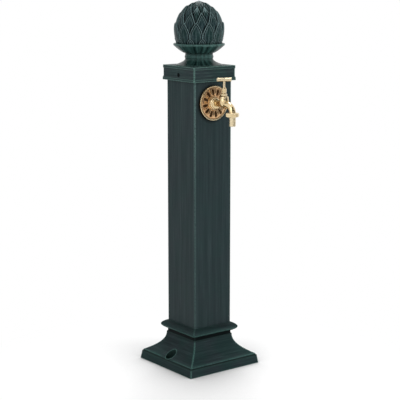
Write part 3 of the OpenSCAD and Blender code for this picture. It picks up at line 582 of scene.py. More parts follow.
def paint_hollows(mesh: bpy.types.Mesh, rounds: int = 6) -> None:
    """Paints an even mesh by its bend: what lies below its neighbours gets grime and painted shade, what
    stands out is worn.

    The bend is the neighbours' mean less the point, along the normal, averaged over the mesh a few
    times.

    Args:
        mesh: The mesh to paint.
        rounds: How often the bend is averaged.
    """
    count = len(mesh.vertices)
    points, normals = np.empty(count * 3, np.float32), np.empty(count * 3, np.float32)
    mesh.vertices.foreach_get("co", points)
    mesh.vertices.foreach_get("normal", normals)
    edges = np.empty(len(mesh.edges) * 2, np.int32)
    mesh.edges.foreach_get("vertices", edges)
    one, two = edges.reshape(-1, 2).T
    number = np.maximum(np.bincount(one, minlength=count) + np.bincount(two, minlength=count), 1)

    def mean(values: Array) -> Array:
        """Averages a value over each point's neighbours."""
        total = np.bincount(one, values[two], count) + np.bincount(two, values[one], count)
        return total / number

    place = points.reshape(-1, 3).astype(float)
    lift = np.column_stack([mean(place[:, k]) for k in range(3)]) - place
    bend = np.sum(lift * normals.reshape(-1, 3), axis=1)
    for _ in range(rounds):
        bend = 0.5 * bend + 0.5 * mean(bend)
    size = np.percentile(np.abs(bend), FULL_BEND) + TINY
    # Hollows take grime and painted shade, bumps take wear
    for key, sign in (("wear_and_highlight", -1.0), ("grime_and_shade", 1.0)):
        layer = mesh.attributes.get(key) or mesh.attributes.new(key, "FLOAT", "POINT")
        layer.data.foreach_set("value", np.clip(sign * bend / size, 0.0, 1.0).astype(np.float32))


class Nodes:
    """Short calls for building a tree of shader nodes."""

    def __init__(self, owner: bpy.types.Material | bpy.types.World) -> None:
        """Starts with the nodes of a new material or world."""
        owner.use_nodes = True
        self.tree = owner.node_tree

    def join(self, socket: Socket, value: Value) -> None:
        """Links a socket to a source, or sets it to a constant.

        Args:
            socket: The socket that takes the value.
            value: Another node's output, or a number, colour or vector.
        """
        if isinstance(value, bpy.types.NodeSocket):
            self.tree.links.new(value, socket)
        else:
            socket.default_value = value

    def node(
        self, kind: str, inputs: dict[str | int, Value] | None = None, **options: str | bool,
    ) -> bpy.types.Node:
        """Adds a node.

        Args:
            kind: Its kind, such as TexNoise.
            inputs: What its sockets take, by name or number.
            options: Its own settings, such as operation.

        Returns:
            The node.
        """
        node = self.tree.nodes.new(f"ShaderNode{kind}")
        for name, option in options.items():
            setattr(node, name, option)
        for key, value in (inputs or {}).items():
            self.join(node.inputs[key], value)
        return node


class Graph(Nodes):
    """Short calls for one material with a Principled shader and Object coordinates."""

    def __init__(self, name: str) -> None:
        """Starts the material.

        Args:
            name: The material's name.
        """
        self.material = bpy.data.materials.new(name)
        super().__init__(self.material)
        self.shader = self.tree.nodes["Principled BSDF"]
        self.place = self.node("TexCoord").outputs["Object"]

    def set(self, **values: float | tuple[float, ...]) -> None:
        """Sets sockets of the shader that are the same all over; underscores stand for spaces."""
        for name, value in values.items():
            self.shader.inputs[name.replace("_", " ")].default_value = value

    def feed(self, name: str, source: Socket) -> None:
        """Links a value that varies over the surface to a socket of the shader."""
        self.tree.links.new(source, self.shader.inputs[name])

    def rays(self) -> Socket:
        """Gives the direction out from the upright axis, so that a noise on it runs in rays."""
        level = self.vector("MULTIPLY", self.place, (1.0, 1.0, 0.0)).outputs[0]
        return self.vector("NORMALIZE", level).outputs[0]

    def noise(self, scale: float | Point, detail: float = 3.0, place: Socket | None = None) -> Socket:
        """Adds a soft noise.

        Args:
            scale: Repeats in a metre, for all axes or for each.
            detail: How many finer layers are added.
            place: Where it is read, if not at the object's own coordinates.

        Returns:
            The noise, from 0 to 1.
        """
        start = self.place if place is None else place
        if isinstance(scale, tuple):
            start = self.node("Mapping", {"Vector": start, "Scale": scale}).outputs["Vector"]
            scale = 1.0
        return self.node("TexNoise", {"Vector": start, "Scale": scale, "Detail": detail}).outputs["Fac"]

    def attribute(self, name: str) -> Socket:
        """Reads a number painted on the mesh's points, or 0 where a mesh has none."""
        return self.node("Attribute", attribute_name=name).outputs["Fac"]

    def stretch(self, value: Socket, low: float, high: float, first: float, last: float) -> Socket:
        """Maps a value from a range of low to high to one of first to last, and keeps it there."""
        ranges = {"From Min": low, "From Max": high, "To Min": first, "To Max": last}
        return self.node("MapRange", {"Value": value, **ranges}).outputs["Result"]

    def sum_of(self, operation: str, one: Socket, two: Socket | float) -> Socket:
        """Combines two values by an operation such as MULTIPLY, kept between 0 and 1."""
        return self.node("Math", {0: one, 1: two}, operation=operation, use_clamp=True).outputs["Value"]

    def blend(self, share: Socket, one: Socket | Colour, two: Socket | Colour) -> Socket:
        """Goes from one colour to another by a share."""
        solid = [(*tone, 1.0) if isinstance(tone, tuple) else tone for tone in (one, two)]
        return self.node("Mix", {"Factor": share, 6: solid[0], 7: solid[1]}, data_type="RGBA").outputs[2]

    def vector(self, operation: str, one: Socket, two: Point = (0.0, 0.0, 0.0)) -> bpy.types.Node:
        """Combines a vector with a constant one by an operation such as SUBTRACT."""
        return self.node("VectorMath", {0: one, 1: two}, operation=operation)

    def ring(self, halo: "Halo") -> Socket:
        """Paints a ring of painted shade or of rubbed edge.

        Args:
            halo: Where it lies and how far it reaches.

        Returns:
            The halo's strength within its inner radius round its axis, fading to 0 at its outer one.
        """
        start = self.vector("ABSOLUTE", self.place).outputs[0] if halo.mirrored else self.place
        away = self.vector("SUBTRACT", start, halo.centre).outputs[0]
        flat = self.vector("MULTIPLY", away, halo.across).outputs[0]
        reach = self.vector("LENGTH", flat).outputs["Value"]
        near = self.stretch(reach, halo.inner_r, halo.outer_r, halo.strength, 0.0)
        if halo.front_y is None:
            return near
        y = self.node("SeparateXYZ", {0: self.place}).outputs["Y"]
        return self.sum_of("MULTIPLY", near, self.sum_of("LESS_THAN", y, halo.front_y))

    def emboss(self, height: Socket, depth: float, strength: float = 1.0) -> None:
        """Raises the surface by a height, of a depth in millimetres."""
        bump = self.node("Bump", {"Height": height, "Distance": depth * MM, "Strength": strength})
        self.feed("Normal", bump.outputs["Normal"])


class Finish(Protocol):
    """Anything that can give a material."""

    @property
    def name(self) -> str:
        """The finish's name."""

    def material(self) -> bpy.types.Material:
        """Gives the finish's material."""


@functools.cache
def made(finish: Finish) -> bpy.types.Material:
    """Makes each finish's material once."""
    return finish.material()


@dataclass(frozen=True)
class Halo:
    """A ring of painted shade or of rubbed edge round an axis, in metres: its middle, the axes it spreads
    on, its radii.

    A mirrored one shows on both sides of the part, and one with a front only where Y is below it.
    """

    centre: Point
    across: Point
    inner_r: float
    outer_r: float
    mirrored: bool = False
    front_y: float | None = None
    strength: float = 1.0


@dataclass(frozen=True)
class CastPaint:
    """Dark green paint on a casting, dry-brushed with verdigris where it stands proud.

    A field whose name ends in turn gives the stretch of a noise over which a paint comes in.
    """

    name: str
    stroke: Stroke
    verdigris: Colour
    edges: float
    dark: Colour = (0.0110, 0.0191, 0.0218)
    light: Colour = (0.0252, 0.0374, 0.0408)
    green: Colour = (0.0100, 0.0330, 0.0290)
    shadow: Colour = (0.0010, 0.0020, 0.0021)
    turn: Range = (0.32, 0.70)
    finer: float = 3.1
    brushed: float = 0.16
    brush_turn: Range = (0.50, 0.74)
    patch: float = 16.0
    patch_turn: Range = (0.38, 0.62)
    green_share: float = 0.5
    speckle: float = 420.0
    speckle_turn: Range = (0.30, 0.62)
    least_rub: float = 0.25
    recesses: float = 0.92
    shine: float = 0.13
    sheen: Colour = (0.70, 0.96, 1.0)
    gloss: Range = (0.42, 0.56)
    relief_turn: Range = (0.2, 0.8)
    relief: float = 0.22
    relief_share: float = 0.6
    # Rings that add painted shade and rubbed edges
    dirt_and_shade: Halo | None = None
    rim: Halo | None = None

    def material(self) -> bpy.types.Material:
        """Mixes streaks, tint, rubbed edges with painted highlights, and painted shade in the corners into
        the paint.

        Returns:
            The material.
        """
        graph = Graph(self.name)
        place = graph.rays() if self.stroke is Stroke.RAYS else None
        streaks = graph.stretch(graph.noise(self.stroke.value, 4.0, place), *self.turn, 0.0, 1.0)
        fine = graph.noise(tuple(self.finer * repeat for repeat in self.stroke.value), 2.0, place)
        tint = graph.stretch(graph.noise(self.patch, 2.0), *self.patch_turn, 0.0, self.green_share)
        speckle = graph.noise(self.speckle)
        paint = graph.blend(streaks, self.dark, self.light)
        paint = graph.blend(tint, paint, self.green)
        brushed = graph.stretch(fine, *self.brush_turn, 0.0, self.brushed)
        paint = graph.blend(graph.sum_of("MULTIPLY", brushed, streaks), paint, self.verdigris)
        broken = graph.stretch(speckle, *self.speckle_turn, self.least_rub, 1.0)
        # The wear attribute also carries painted highlights, and the grime attribute painted shade
        worn_and_lit, dirty_and_shaded = graph.attribute("wear_and_highlight"), graph.attribute("grime_and_shade")
        if self.rim is not None:
            worn_and_lit = graph.sum_of("MAXIMUM", worn_and_lit, graph.ring(self.rim))
        if self.dirt_and_shade is not None:
            dirty_and_shaded = graph.sum_of("MAXIMUM", dirty_and_shaded, graph.ring(self.dirt_and_shade))
        rubbed = graph.sum_of("MULTIPLY", worn_and_lit, broken)
        rubbed = graph.sum_of("MULTIPLY", rubbed, self.edges)
        paint = graph.blend(rubbed, paint, self.verdigris)
        # Painted shade: shaded points go towards the shadow colour
        dirty_and_shaded = graph.sum_of("MULTIPLY", dirty_and_shaded, self.recesses)
        graph.feed("Base Color", graph.blend(dirty_and_shaded, paint, self.shadow))
        graph.feed("Roughness", graph.stretch(streaks, 0.0, 1.0, self.gloss[1], self.gloss[0]))
        graph.set(Specular_IOR_Level=self.shine, Specular_Tint=(*self.sheen, 1.0))
        halves = [graph.stretch(height, *self.relief_turn, 0.0, 0.5) for height in (fine, speckle)]
        graph.emboss(graph.sum_of("ADD", *halves), self.relief, self.relief_share)
        return graph.material


@dataclass(frozen=True)
class Metal:
    """Bare metal with tarnish and painted shade in its hollows, and fine marks in its surface."""

    name: str
    bright: Colour
    dull: Colour
    # The colour of tarnish and painted shade in the hollows
    stain_and_shade: Colour
    # The colour of rubbed parts and painted highlights
    rubbed: Colour
    gloss: float
    haze: float
    tarnish: float = 0.35
    stain_and_shade_strength: float = 0.8
    hold: float = 0.55
    marks: float = 0.02
    shine: float = 0.1
    grain: Point = (900.0, 900.0, 900.0)
    grain_turn: Range = (0.3, 0.7)
    cloud: float = 85.0
    cloud_turn: Range = (0.40, 0.72)
    spot: float = 240.0
    spot_turn: Range = (0.30, 0.60)
    dirt_haze: float = 0.3
    dirt_metal: float = 0.3

    def material(self) -> bpy.types.Material:
        """Mixes bright and dull metal by cloudy tarnish, lightens rubbed parts and painted highlights, and
        darkens the hollows with tarnish and painted shade.

        Returns:
            The material.
        """
        graph = Graph(self.name)
        clouds = graph.stretch(graph.noise(self.cloud, 4.0), *self.cloud_turn, 0.0, self.tarnish)
        grain = graph.noise(self.grain)
        metal = graph.blend(clouds, self.bright, self.dull)
        metal = graph.blend(graph.attribute("wear_and_highlight"), metal, self.rubbed)
        held = graph.stretch(graph.noise(self.spot), *self.spot_turn, self.hold, 1.0)
        # Tarnish and painted shade in the hollows, broken up by spots
        dirty_and_shaded = graph.sum_of("MULTIPLY", graph.attribute("grime_and_shade"), held)
        dirty_and_shaded = graph.sum_of("MULTIPLY", dirty_and_shaded, self.stain_and_shade_strength)
        graph.feed("Base Color", graph.blend(dirty_and_shaded, metal, self.stain_and_shade))
        brushed = graph.stretch(grain, *self.grain_turn, self.gloss, self.haze)
        hazy = graph.sum_of("MULTIPLY", dirty_and_shaded, self.dirt_haze)
        graph.feed("Roughness", graph.sum_of("ADD", brushed, hazy))
        graph.feed("Metallic", graph.stretch(dirty_and_shaded, 0.0, 1.0, 1.0, self.dirt_metal))
        graph.set(Specular_IOR_Level=self.shine)
        graph.emboss(grain, self.marks)
        return graph.material


@dataclass(frozen=True)
class Soft:
    """Rubber or fibre: a matt, mottled material with a fine grain."""

    name: str
    dark: Colour
    light: Colour
    rough: float
    rough_by: float = 0.08
    grain: float = 1500.0
    grain_turn: Range = (0.3, 0.7)
    depth: float = 0.05
    mottle: float = 300.0
    mottle_turn: Range = (0.35, 0.65)

    def material(self) -> bpy.types.Material:
        """Mottles two tones and raises a fine grain.

        Returns:
            The material.
        """
        graph = Graph(self.name)
        mottle = graph.stretch(graph.noise(self.mottle, 4.0), *self.mottle_turn, 0.0, 1.0)
        grain = graph.noise(self.grain, 2.0)
        low, high = self.rough - self.rough_by, self.rough + self.rough_by
        graph.feed("Base Color", graph.blend(mottle, self.dark, self.light))
        graph.feed("Roughness", graph.stretch(grain, *self.grain_turn, low, high))
        graph.emboss(grain, self.depth)
        return graph.material


COLUMN_PAINT = CastPaint(
    "column_paint", Stroke.UPRIGHT, dark=(0.0138, 0.0226, 0.0253), light=(0.0222, 0.0332, 0.0366),
    verdigris=(0.120, 0.200, 0.187), green_share=0.25, brushed=0.07, edges=0.62,
    # Painted shadow in a ring round the rosette, set a little to the left
    dirt_and_shade=Halo((-0.002, 0.0, 0.694), (1.0, 0.0, 1.0), 0.0435, 0.0520, front_y=-0.05),
)
CAP_PAINT = CastPaint(
    "cap_paint", Stroke.LEVEL, brushed=0.35, edges=0.9, verdigris=(0.105, 0.200, 0.172),
)
# Where a halo round the ground bolts lies, and the axes it spreads on
BOLT_AXES = ((0.093, 0.0, 0.0), (1.0, 1.0, 0.0))
FOOT_PAINT = CastPaint(
    "foot_paint", Stroke.LEVEL, dark=(0.0117, 0.0182, 0.0206), light=(0.0247, 0.0370, 0.0408),
    green=(0.0091, 0.0302, 0.0270), verdigris=(0.090, 0.200, 0.175), green_share=0.55, edges=0.8,
    recesses=0.98, shine=0.05,
    # Painted shade inside the bolt pockets, and a rubbed rim round them
    dirt_and_shade=Halo(*BOLT_AXES, 0.01406, 0.01425, mirrored=True, strength=0.82),
    rim=Halo(*BOLT_AXES, 0.0146, 0.0166, mirrored=True),
)
STAND_PAINT = CastPaint(
    "stand_paint", Stroke.RAYS, dark=(0.0014, 0.0076, 0.0069), light=(0.0320, 0.0790, 0.0720),
    green=(0.0050, 0.0290, 0.0235), verdigris=(0.100, 0.185, 0.170), green_share=0.35, turn=(0.38, 0.66),
    brushed=0.2, edges=1.0, shine=0.08, gloss=(0.20, 0.30),
)
CONE_PAINT = CastPaint(
    "cone_paint", Stroke.VEINED, dark=(0.0026, 0.0074, 0.0088), light=(0.0140, 0.0320, 0.0380),
    green=(0.0030, 0.0185, 0.0150), verdigris=(0.225, 0.330, 0.335), green_share=0.75, patch=42.0,
    brushed=0.4, edges=0.95, recesses=1.0, shine=0.07, gloss=(0.22, 0.32),
)
POLISHED = Metal(
    "polished_brass", (0.77, 0.60, 0.345), (0.61, 0.42, 0.205), (0.08, 0.04, 0.014), (0.82, 0.69, 0.45),
    gloss=0.13, haze=0.23,
)
HANDLED = Metal(
    "handled_brass", (0.75, 0.64, 0.43), (0.63, 0.50, 0.30), (0.08, 0.045, 0.018), (0.80, 0.71, 0.52),
    gloss=0.34, haze=0.44,
)
ANTIQUE = Metal(
    "antique_brass", (0.74, 0.475, 0.250), (0.47, 0.245, 0.118), (0.050, 0.020, 0.003), (0.95, 0.79, 0.50),
    gloss=0.18, haze=0.32, tarnish=0.85, stain_and_shade_strength=0.99, hold=0.9, marks=0.03,
)
PLAIN = Metal(
    "plain_brass", (0.70, 0.48, 0.20), (0.48, 0.30, 0.12), (0.10, 0.06, 0.03), (0.78, 0.58, 0.30),
    gloss=0.28, haze=0.42, tarnish=0.6,
)
COPPER = Metal(
    "copper_pipe", (0.80, 0.38, 0.24), (0.46, 0.20, 0.12), (0.08, 0.10, 0.07), (0.85, 0.48, 0.33),
    gloss=0.25, haze=0.42, tarnish=0.7,
)
ZINC = Metal(
    "zinc_steel", (0.62, 0.62, 0.60), (0.40, 0.41, 0.40), (0.10, 0.09, 0.08), (0.70, 0.70, 0.68),
    gloss=0.30, haze=0.46, tarnish=0.6,
)
# Painted shade: the cap screws are near black so that their pockets read as shade
SCREW_SHADE_BLACK = Metal(
    "screw_shade_black",
    (0.004, 0.004, 0.004), (0.002, 0.002, 0.002), (0.001, 0.001, 0.001), (0.008, 0.008, 0.008),
    gloss=0.5, haze=0.7,
)
RUBBER = Soft("black_rubber", (0.010, 0.010, 0.011), (0.026, 0.026, 0.027), 0.68)
FIBRE = Soft("dark_fibre", (0.020, 0.013, 0.009), (0.048, 0.030, 0.020), 0.82)

TRIM: dict[Finish, tuple[str, ...]] = {
    PLAIN: (
        "supply_connector", "supply_nut", "supply_olive", "wall_elbow", "elbow_nut", "elbow_olive",
        "back_nut", "jumper_valve",
    ),
    COPPER: ("riser_pipe",),
    SCREW_SHADE_BLACK: ("cap_screws",),
    ZINC: ("column_screws", "finial_stud", "finial_washer", "finial_nut", "back_washer", "handle_pin"),
    RUBBER: ("pipe_grommet", "valve_washer", "hose_washer"),
    FIBRE: ("shank_washer", "gland_packing"),
}


def dress(
    piece: bpy.types.Object, finish: Finish, slot: Slot, *nodes: str,
    body: Body = Body.STANDPIPE, crease: float = SMOOTH_ANGLE,
) -> None:
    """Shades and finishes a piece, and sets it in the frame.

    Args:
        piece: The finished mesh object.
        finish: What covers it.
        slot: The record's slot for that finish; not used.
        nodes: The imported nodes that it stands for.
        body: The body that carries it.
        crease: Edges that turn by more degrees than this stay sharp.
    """
    mesh = piece.data
    mesh.polygons.foreach_set("use_smooth", np.ones(len(mesh.polygons), bool))
    mesh.set_sharp_from_angle(angle=math.radians(crease))
    mesh.materials.clear()
    mesh.materials.append(made(finish))
    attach(piece, body.value)
    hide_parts(*nodes)
    log.info("%s: %d faces on %s", piece.name, len(mesh.polygons), body.value)


@dataclass
class Foot:
    """The cast foot: plinth, ledge, concave flare, groove and bead, hollow below its deck."""

    plinth_h: float = 22.0
    plinth_draft: float = 3.5
    ledge_w: float = 2.5
    step_h: float = 3.0
    step_in: float = 1.0
    flare_h: float = 53.0
    flare_reach: float = 3.3
    flare_power: float = 2.25
    groove_h: float = 8.0
    groove_reach: float = 1.0
    groove_lip: float = 2.8
    bead_reach: float = 14.5
    wall: float = 6.0
    deck_t: float = 8.0
    socket_gap: float = 0.2
    pipe_hole_r: float = 20.0
    bolt_spacing: float = 186.0
    bolt_r: float = 5.0
    pocket_r: float = 14.0
    pocket_wall: float = 4.0
    pad_t: float = 14.0
    hollow_rise: float = 0.6
    ledge_line: float = 1.9
    # Painted shadow on the ledge below the flare
    ledge_shadow: float = 0.85
    ledge_rub: float = 0.45
    # Painted highlight along the bead's nose
    nose_z: float = 93.5
    nose_w: float = 2.4
    nose_highlight: float = 0.9
    # Painted shade under the bead and at its top, where the column rises
    under_shade: float = 4.5
    top_shade: float = 8.0
    top_shade_strength: float = 0.4
    corner_wear: float = 0.7
    bead_wear: float = 0.4
    corner: float = 2.0
    edge: float = 0.8
    shade: float = 6.0
    skin: float = 0.5
    curve_stops: int = 26
    grid: float = 3.0
    crease: float = 30.0

    def __post_init__(self) -> None:
        """Reads the foot's width and the column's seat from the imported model."""
        high = span("base_foot")[1]
        column_low, column_high = span("column")
        self.half, self.top = high[0], high[2]
        self.column_half, self.deck_z = column_high[0], column_low[2]
        self.flare_z = self.plinth_h + self.step_h
        self.lip_z = self.flare_z + self.flare_h

    def flare(self, inset: float = 0.0) -> Array:
        """Draws the flare: its reach falls from foot to top as a power of the height left to go.

        Args:
            inset: How far it lies within the outside.

        Returns:
            Points of reach and height.
        """
        t = np.linspace(0.0, 1.0, self.curve_stops)
        foot = self.half - self.plinth_draft - self.ledge_w
        top = self.column_half + self.flare_reach
        reach = top + (foot - top) * (1 - t) ** self.flare_power - inset
        return np.column_stack((reach, self.flare_z + self.flare_h * t))

    def bead(self) -> Array:
        """Draws the bead's rounded nose, a parabola between its two edges.

        Returns:
            Points of reach and height.
        """
        t = np.linspace(0.0, 1.0, self.curve_stops)
        groove = self.column_half + self.groove_reach
        low = self.lip_z + self.groove_h
        reach = groove + (self.bead_reach - self.groove_reach) * (1 - (2 * t - 1) ** 2)
        return np.column_stack((reach, low + (self.top - low) * t))

    def outline(self) -> Outline:
        """Draws the outside, the column's socket and the pipe's round hole.

        Returns:
            The closed outline.
        """
        plinth_top = self.half - self.plinth_draft
        foot = plinth_top - self.ledge_w
        socket = self.column_half + self.socket_gap
        hole = self.pipe_hole_r
        return Outline.of(
            [(self.half, 0.0), (plinth_top, self.plinth_h), (foot + self.step_in, self.plinth_h)],
            self.flare(),
            [(self.column_half + self.groove_reach, self.lip_z + self.groove_lip)],
            self.bead(),
            [(socket, self.top), (socket, self.deck_z)],
            [(hole, self.deck_z, hole), (hole, 0.0, hole)],
            corner=self.corner,
        )

    def hollow(self) -> Shell:
        """Makes the space under the deck, with a post left standing round each bolt.

        Returns:
            The space, to be carved away.
        """
        base = self.half - self.wall
        ceiling = self.deck_z - self.deck_t
        tip = self.column_half + self.flare_reach - self.wall
        outline = Outline.of(
            [(0.0, -PAST_MM, 0.0)],
            [(base, -PAST_MM), (base - self.plinth_draft, self.hollow_rise * self.plinth_h)],
            self.flare(self.wall),
            [(tip - WELD_MM, ceiling)],
            [(0.0, ceiling, 0.0)],
            corner=self.corner,
        )
        space = mesh_object("hollow", square_sweep(outline))
        post_r = self.pocket_r + self.pocket_wall
        carve(space, *(round_bar(post_r, -2 * PAST_MM, self.deck_z, seat) for seat in self.bolts()))
        return shell_of(space)

    def bolts(self) -> tuple[Seat, Seat]:
        """Gives the axes of the two ground bolts."""
        reach = 0.5 * self.bolt_spacing
        return Seat((-reach, 0.0, 0.0)), Seat((reach, 0.0, 0.0))

    def paint(self, shell: Shell) -> None:
        """Paints shade into the groove, under the bead and at its top, and a shadow on the ledge below the
        flare; rubs the ledge's edge and paints a highlight along the bead's nose.

        Args:
            shell: The swept foot.
        """
        height = shell.points[:, 2]
        outside = np.abs(shell.points[:, :2]).max(axis=1) > self.column_half + self.skin
        groove_z = self.lip_z + 0.5 * self.groove_h
        # Painted shade in the groove, under the bead and at its top, and a painted shadow on the ledge
        dark = np.maximum.reduce((
            bell(height - groove_z, self.shade),
            bell(height - self.lip_z - self.groove_h, self.under_shade),
            self.ledge_shadow * bell(height - self.plinth_h, self.ledge_line),
            self.top_shade_strength * bell(height - self.top, self.top_shade),
        ))
        ledge = bell(height - self.flare_z, self.ledge_line)
        kept = np.maximum(ledge, np.where(height < groove_z, self.corner_wear, self.bead_wear))
        # Rubbed ledge edge, and a painted highlight along the bead's nose
        rubbed = np.maximum(self.ledge_rub * ledge, self.nose_highlight * bell(height - self.nose_z, self.nose_w))
        shell.grime_and_shade = np.maximum(shell.grime_and_shade, outside * dark)
        shell.wear_and_highlight = np.maximum(shell.wear_and_highlight * kept, outside * rubbed)

    def build(self) -> None:
        """Sweeps and paints the foot, and carves its hollow and its bolt pockets."""
        shell = square_sweep(self.outline().rounded(self.edge).spaced(self.grid))
        self.paint(shell)
        foot = mesh_object("base_foot_casting", shell)
        carve(foot, self.hollow())
        for seat in self.bolts():
            carve(
                foot,
                round_bar(self.pocket_r, self.pad_t, self.top, seat, segments=64),
                round_bar(self.bolt_r, -PAST_MM, self.pad_t + PAST_MM, seat),
            )
        dress(foot, FOOT_PAINT, Slot.CAST, "base_foot", crease=self.crease)


@dataclass
class Column:
    """The plain square tube."""

    wall: float = 4.0
    corner: float = 3.0
    edge: float = 0.6
    # Rubbed edges lighter towards the top
    low_edge_share: float = 0.48
    lighter_above: Range = (450.0, 680.0)
    # Paint darker towards the bottom
    foot_darkening: float = 0.16
    darker_below: Range = (130.0, 420.0)
    grid: float = 12.0

    def build(self) -> None:
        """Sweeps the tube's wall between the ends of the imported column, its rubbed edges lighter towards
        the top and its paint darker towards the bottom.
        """
        low, high = span("column")
        inner = high[0] - self.wall
        outline = Outline.of(
            [(high[0], low[2], self.corner), (high[0], high[2], self.corner)],
            [(inner, high[2]), (inner, low[2])],
            corner=self.edge,
        )
        tube = square_sweep(outline.rounded(self.edge).spaced(self.grid))
        height = tube.points[:, 2]
        # Rubbed edges lighter towards the top, paint darker towards the bottom
        tube.wear_and_highlight = tube.wear_and_highlight * (self.low_edge_share + (1 - self.low_edge_share) * ease(height, *self.lighter_above))
        tube.grime_and_shade = np.maximum(tube.grime_and_shade, self.foot_darkening * (1 - ease(height, *self.darker_below)))
        dress(mesh_object("column_tube", tube), COLUMN_PAINT, Slot.CAST, "column")


@dataclass
class Cap:
    """The square lid on the column: lower lip, waist and upper lip, with a sunk screw in two sides."""

    lip_reach: float = 8.5
    waist_reach: float = 6.7
    crown_reach: float = 7.7
    lip_h: float = 8.5
    crown_h: float = 8.0
    top_t: float = 6.0
    step: float = 0.9
    socket_gap: float = 0.2
    stud_hole_r: float = 5.25
    corner: float = 2.2
    edge: float = 0.7
    screw_z: float = 15.0
    screw_seat: float = 2.8
    pocket_r: float = 5.2
    shank_r: float = 2.75
    grid: float = 2.5
    crease: float = 30.0

    def __post_init__(self) -> None:
        """Reads the cap's height and the column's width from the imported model."""
        low, high = span("cap")
        self.low, self.height = low[2], high[2] - low[2]
        self.column_half = span("column")[1][0]

    def outline(self) -> Outline:
        """Draws the outside with its stepped lips, and the socket below the top.

        Returns:
            The closed outline.
        """
        lip, waist, crown = (
            self.column_half + reach for reach in (self.lip_reach, self.waist_reach, self.crown_reach)
        )
        crown_z = self.height - self.crown_h
        socket = self.column_half + self.socket_gap
        under = self.height - self.top_t
        hole = self.stud_hole_r
        return Outline.of(
            [(socket, 0.0), (lip, 0.0), (lip, self.lip_h - 2 * self.step)],
            [(lip - self.step, self.lip_h - self.step), (lip - self.step, self.lip_h)],
            [(waist, self.lip_h + 2 * self.step), (waist, crown_z - 3 * self.step)],
            [(crown - self.step, crown_z - self.step), (crown - self.step, crown_z)],
            [(crown, crown_z + self.step), (crown, self.height)],
            [(hole, self.height, hole), (hole, under, hole)],
            [(socket, under)],
            corner=self.corner,
        )

    def build(self) -> None:
        """Sweeps the cap and sinks its screws."""
        shell = square_sweep(self.outline().rounded(self.edge).spaced(self.grid))
        cap = mesh_object("cap_casting", shell.placed(Seat((0.0, 0.0, self.low))))
        seat_x = self.column_half + self.screw_seat
        middle = (0.0, 0.0, self.low + self.screw_z)
        for side in (-1.0, 1.0):
            seat = Seat(middle, (0.0, 1.0, 0.0), (0.0, 0.0, side), (side, 0.0, 0.0))
            carve(
                cap,
                round_bar(self.pocket_r, seat_x, 2 * seat_x, seat, segments=40),
                round_bar(self.shank_r, self.column_half, seat_x + PAST_MM, seat, segments=32),
            )
        dress(cap, CAP_PAINT, Slot.CAST, "cap", crease=self.crease)


@dataclass
class Pedestal:
    """The finial's turned stand: a flared foot, a banded neck and a saucer with a dished top."""

    foot_r: float = 60.0
    foot_t: float = 1.6
    step: float = 1.0
    flare_h: float = 16.0
    flare_power: float = 1.9
    neck_r: float = 35.8
    neck_h: float = 14.0
    bead: float = 1.2
    bead_share: float = 0.7
    nick_share: float = 0.75
    nick_d: float = 0.4
    saucer_h: float = 20.0
    saucer_power: float = 0.72
    rim_rise: float = 1.2
    rim_in: float = 3.0
    dish_d: float = 7.0
    dish_r: float = 58.5
    hollow_r: float = 26.8
    wall: float = 9.0
    stud_hole_r: float = 5.25
    # Painted shade at the stand's foot, where it meets the cap
    foot_darkening: float = 0.4
    neck_rub: float = 0.6
    line_gap: float = 4.2
    line_share: float = 0.65
    band_low: float = -1.5
    band_high: Range = (0.8, 1.1)
    edge: float = 0.8
    curve_stops: int = 22
    curve_turn: float = 20.0
    grid: float = 2.0
    segments: int = 144
    crease: float = 45.0

    def outline(self, height: float, rim_r: float) -> Outline:
        """Draws the stand: flare and saucer are powers of the height, the neck's bead a sine squared.

        Args:
            height: The stand's height.
            rim_r: The saucer's radius.

        Returns:
            The closed outline.
        """
        t = np.linspace(0.0, 1.0, self.curve_stops)
        neck, shoulder = self.flare_h, self.flare_h + self.neck_h
        flare = self.neck_r + (self.foot_r - self.step - self.neck_r) * (1 - t) ** self.flare_power
        beaded = self.neck_r + self.bead * np.sin(math.pi * t) ** 2
        saucer = self.neck_r + (rim_r - self.step - self.neck_r) * t**self.saucer_power
        rim_z = shoulder + self.saucer_h + self.rim_rise
        dish = height - self.dish_d
        under = dish - self.wall
        return Outline.of(
            [(self.foot_r, 0.0), (self.foot_r, self.foot_t)],
            np.column_stack((flare, self.foot_t + (neck - self.foot_t) * t)),
            np.column_stack((beaded, neck + self.bead_share * self.neck_h * t))[1:-1],
            [(self.neck_r - self.nick_d, neck + self.nick_share * self.neck_h)],
            np.column_stack((saucer, shoulder + self.saucer_h * t)),
            [(rim_r, rim_z), (rim_r, height - self.step)],
            [(rim_r - self.step, height), (rim_r - self.rim_in, height)],
            [(self.dish_r, dish), (self.stud_hole_r, dish), (self.stud_hole_r, under)],
            [(self.hollow_r, under), (self.hollow_r, 0.0)],
        )

    def build(self) -> None:
        """Turns the pedestal on the cap's top, with painted shade at its foot and lines rubbed round its
        neck.
        """
        low, high = span("finial_pedestal")
        outline = self.outline(high[2] - low[2], high[0]).rounded(self.edge, self.curve_turn)
        shell = lathe(outline.spaced(self.grid), self.segments)
        height = shell.points[:, 2]
        # Painted shade at the foot, where the stand meets the cap
        dirt_and_shade = self.foot_darkening * (1 - ease(height, self.step, self.flare_h))
        up = height - self.flare_h
        lines = 0.5 + 0.5 * np.cos(2 * math.pi * up / self.line_gap)
        fades = (share * self.neck_h for share in self.band_high)
        band = ease(up, self.band_low * self.line_gap, 0.0) * (1 - ease(up, *fades))
        rubbed = self.neck_rub * band * (1 - self.line_share + self.line_share * lines)
        shell.grime_and_shade = np.maximum(shell.grime_and_shade, dirt_and_shade)
        shell.wear_and_highlight = np.maximum(shell.wear_and_highlight, rubbed)
        stand = mesh_object("finial_stand", shell.placed(Seat((0.0, 0.0, low[2]))))
        dress(stand, STAND_PAINT, Slot.CAST, "finial_pedestal", crease=self.crease)


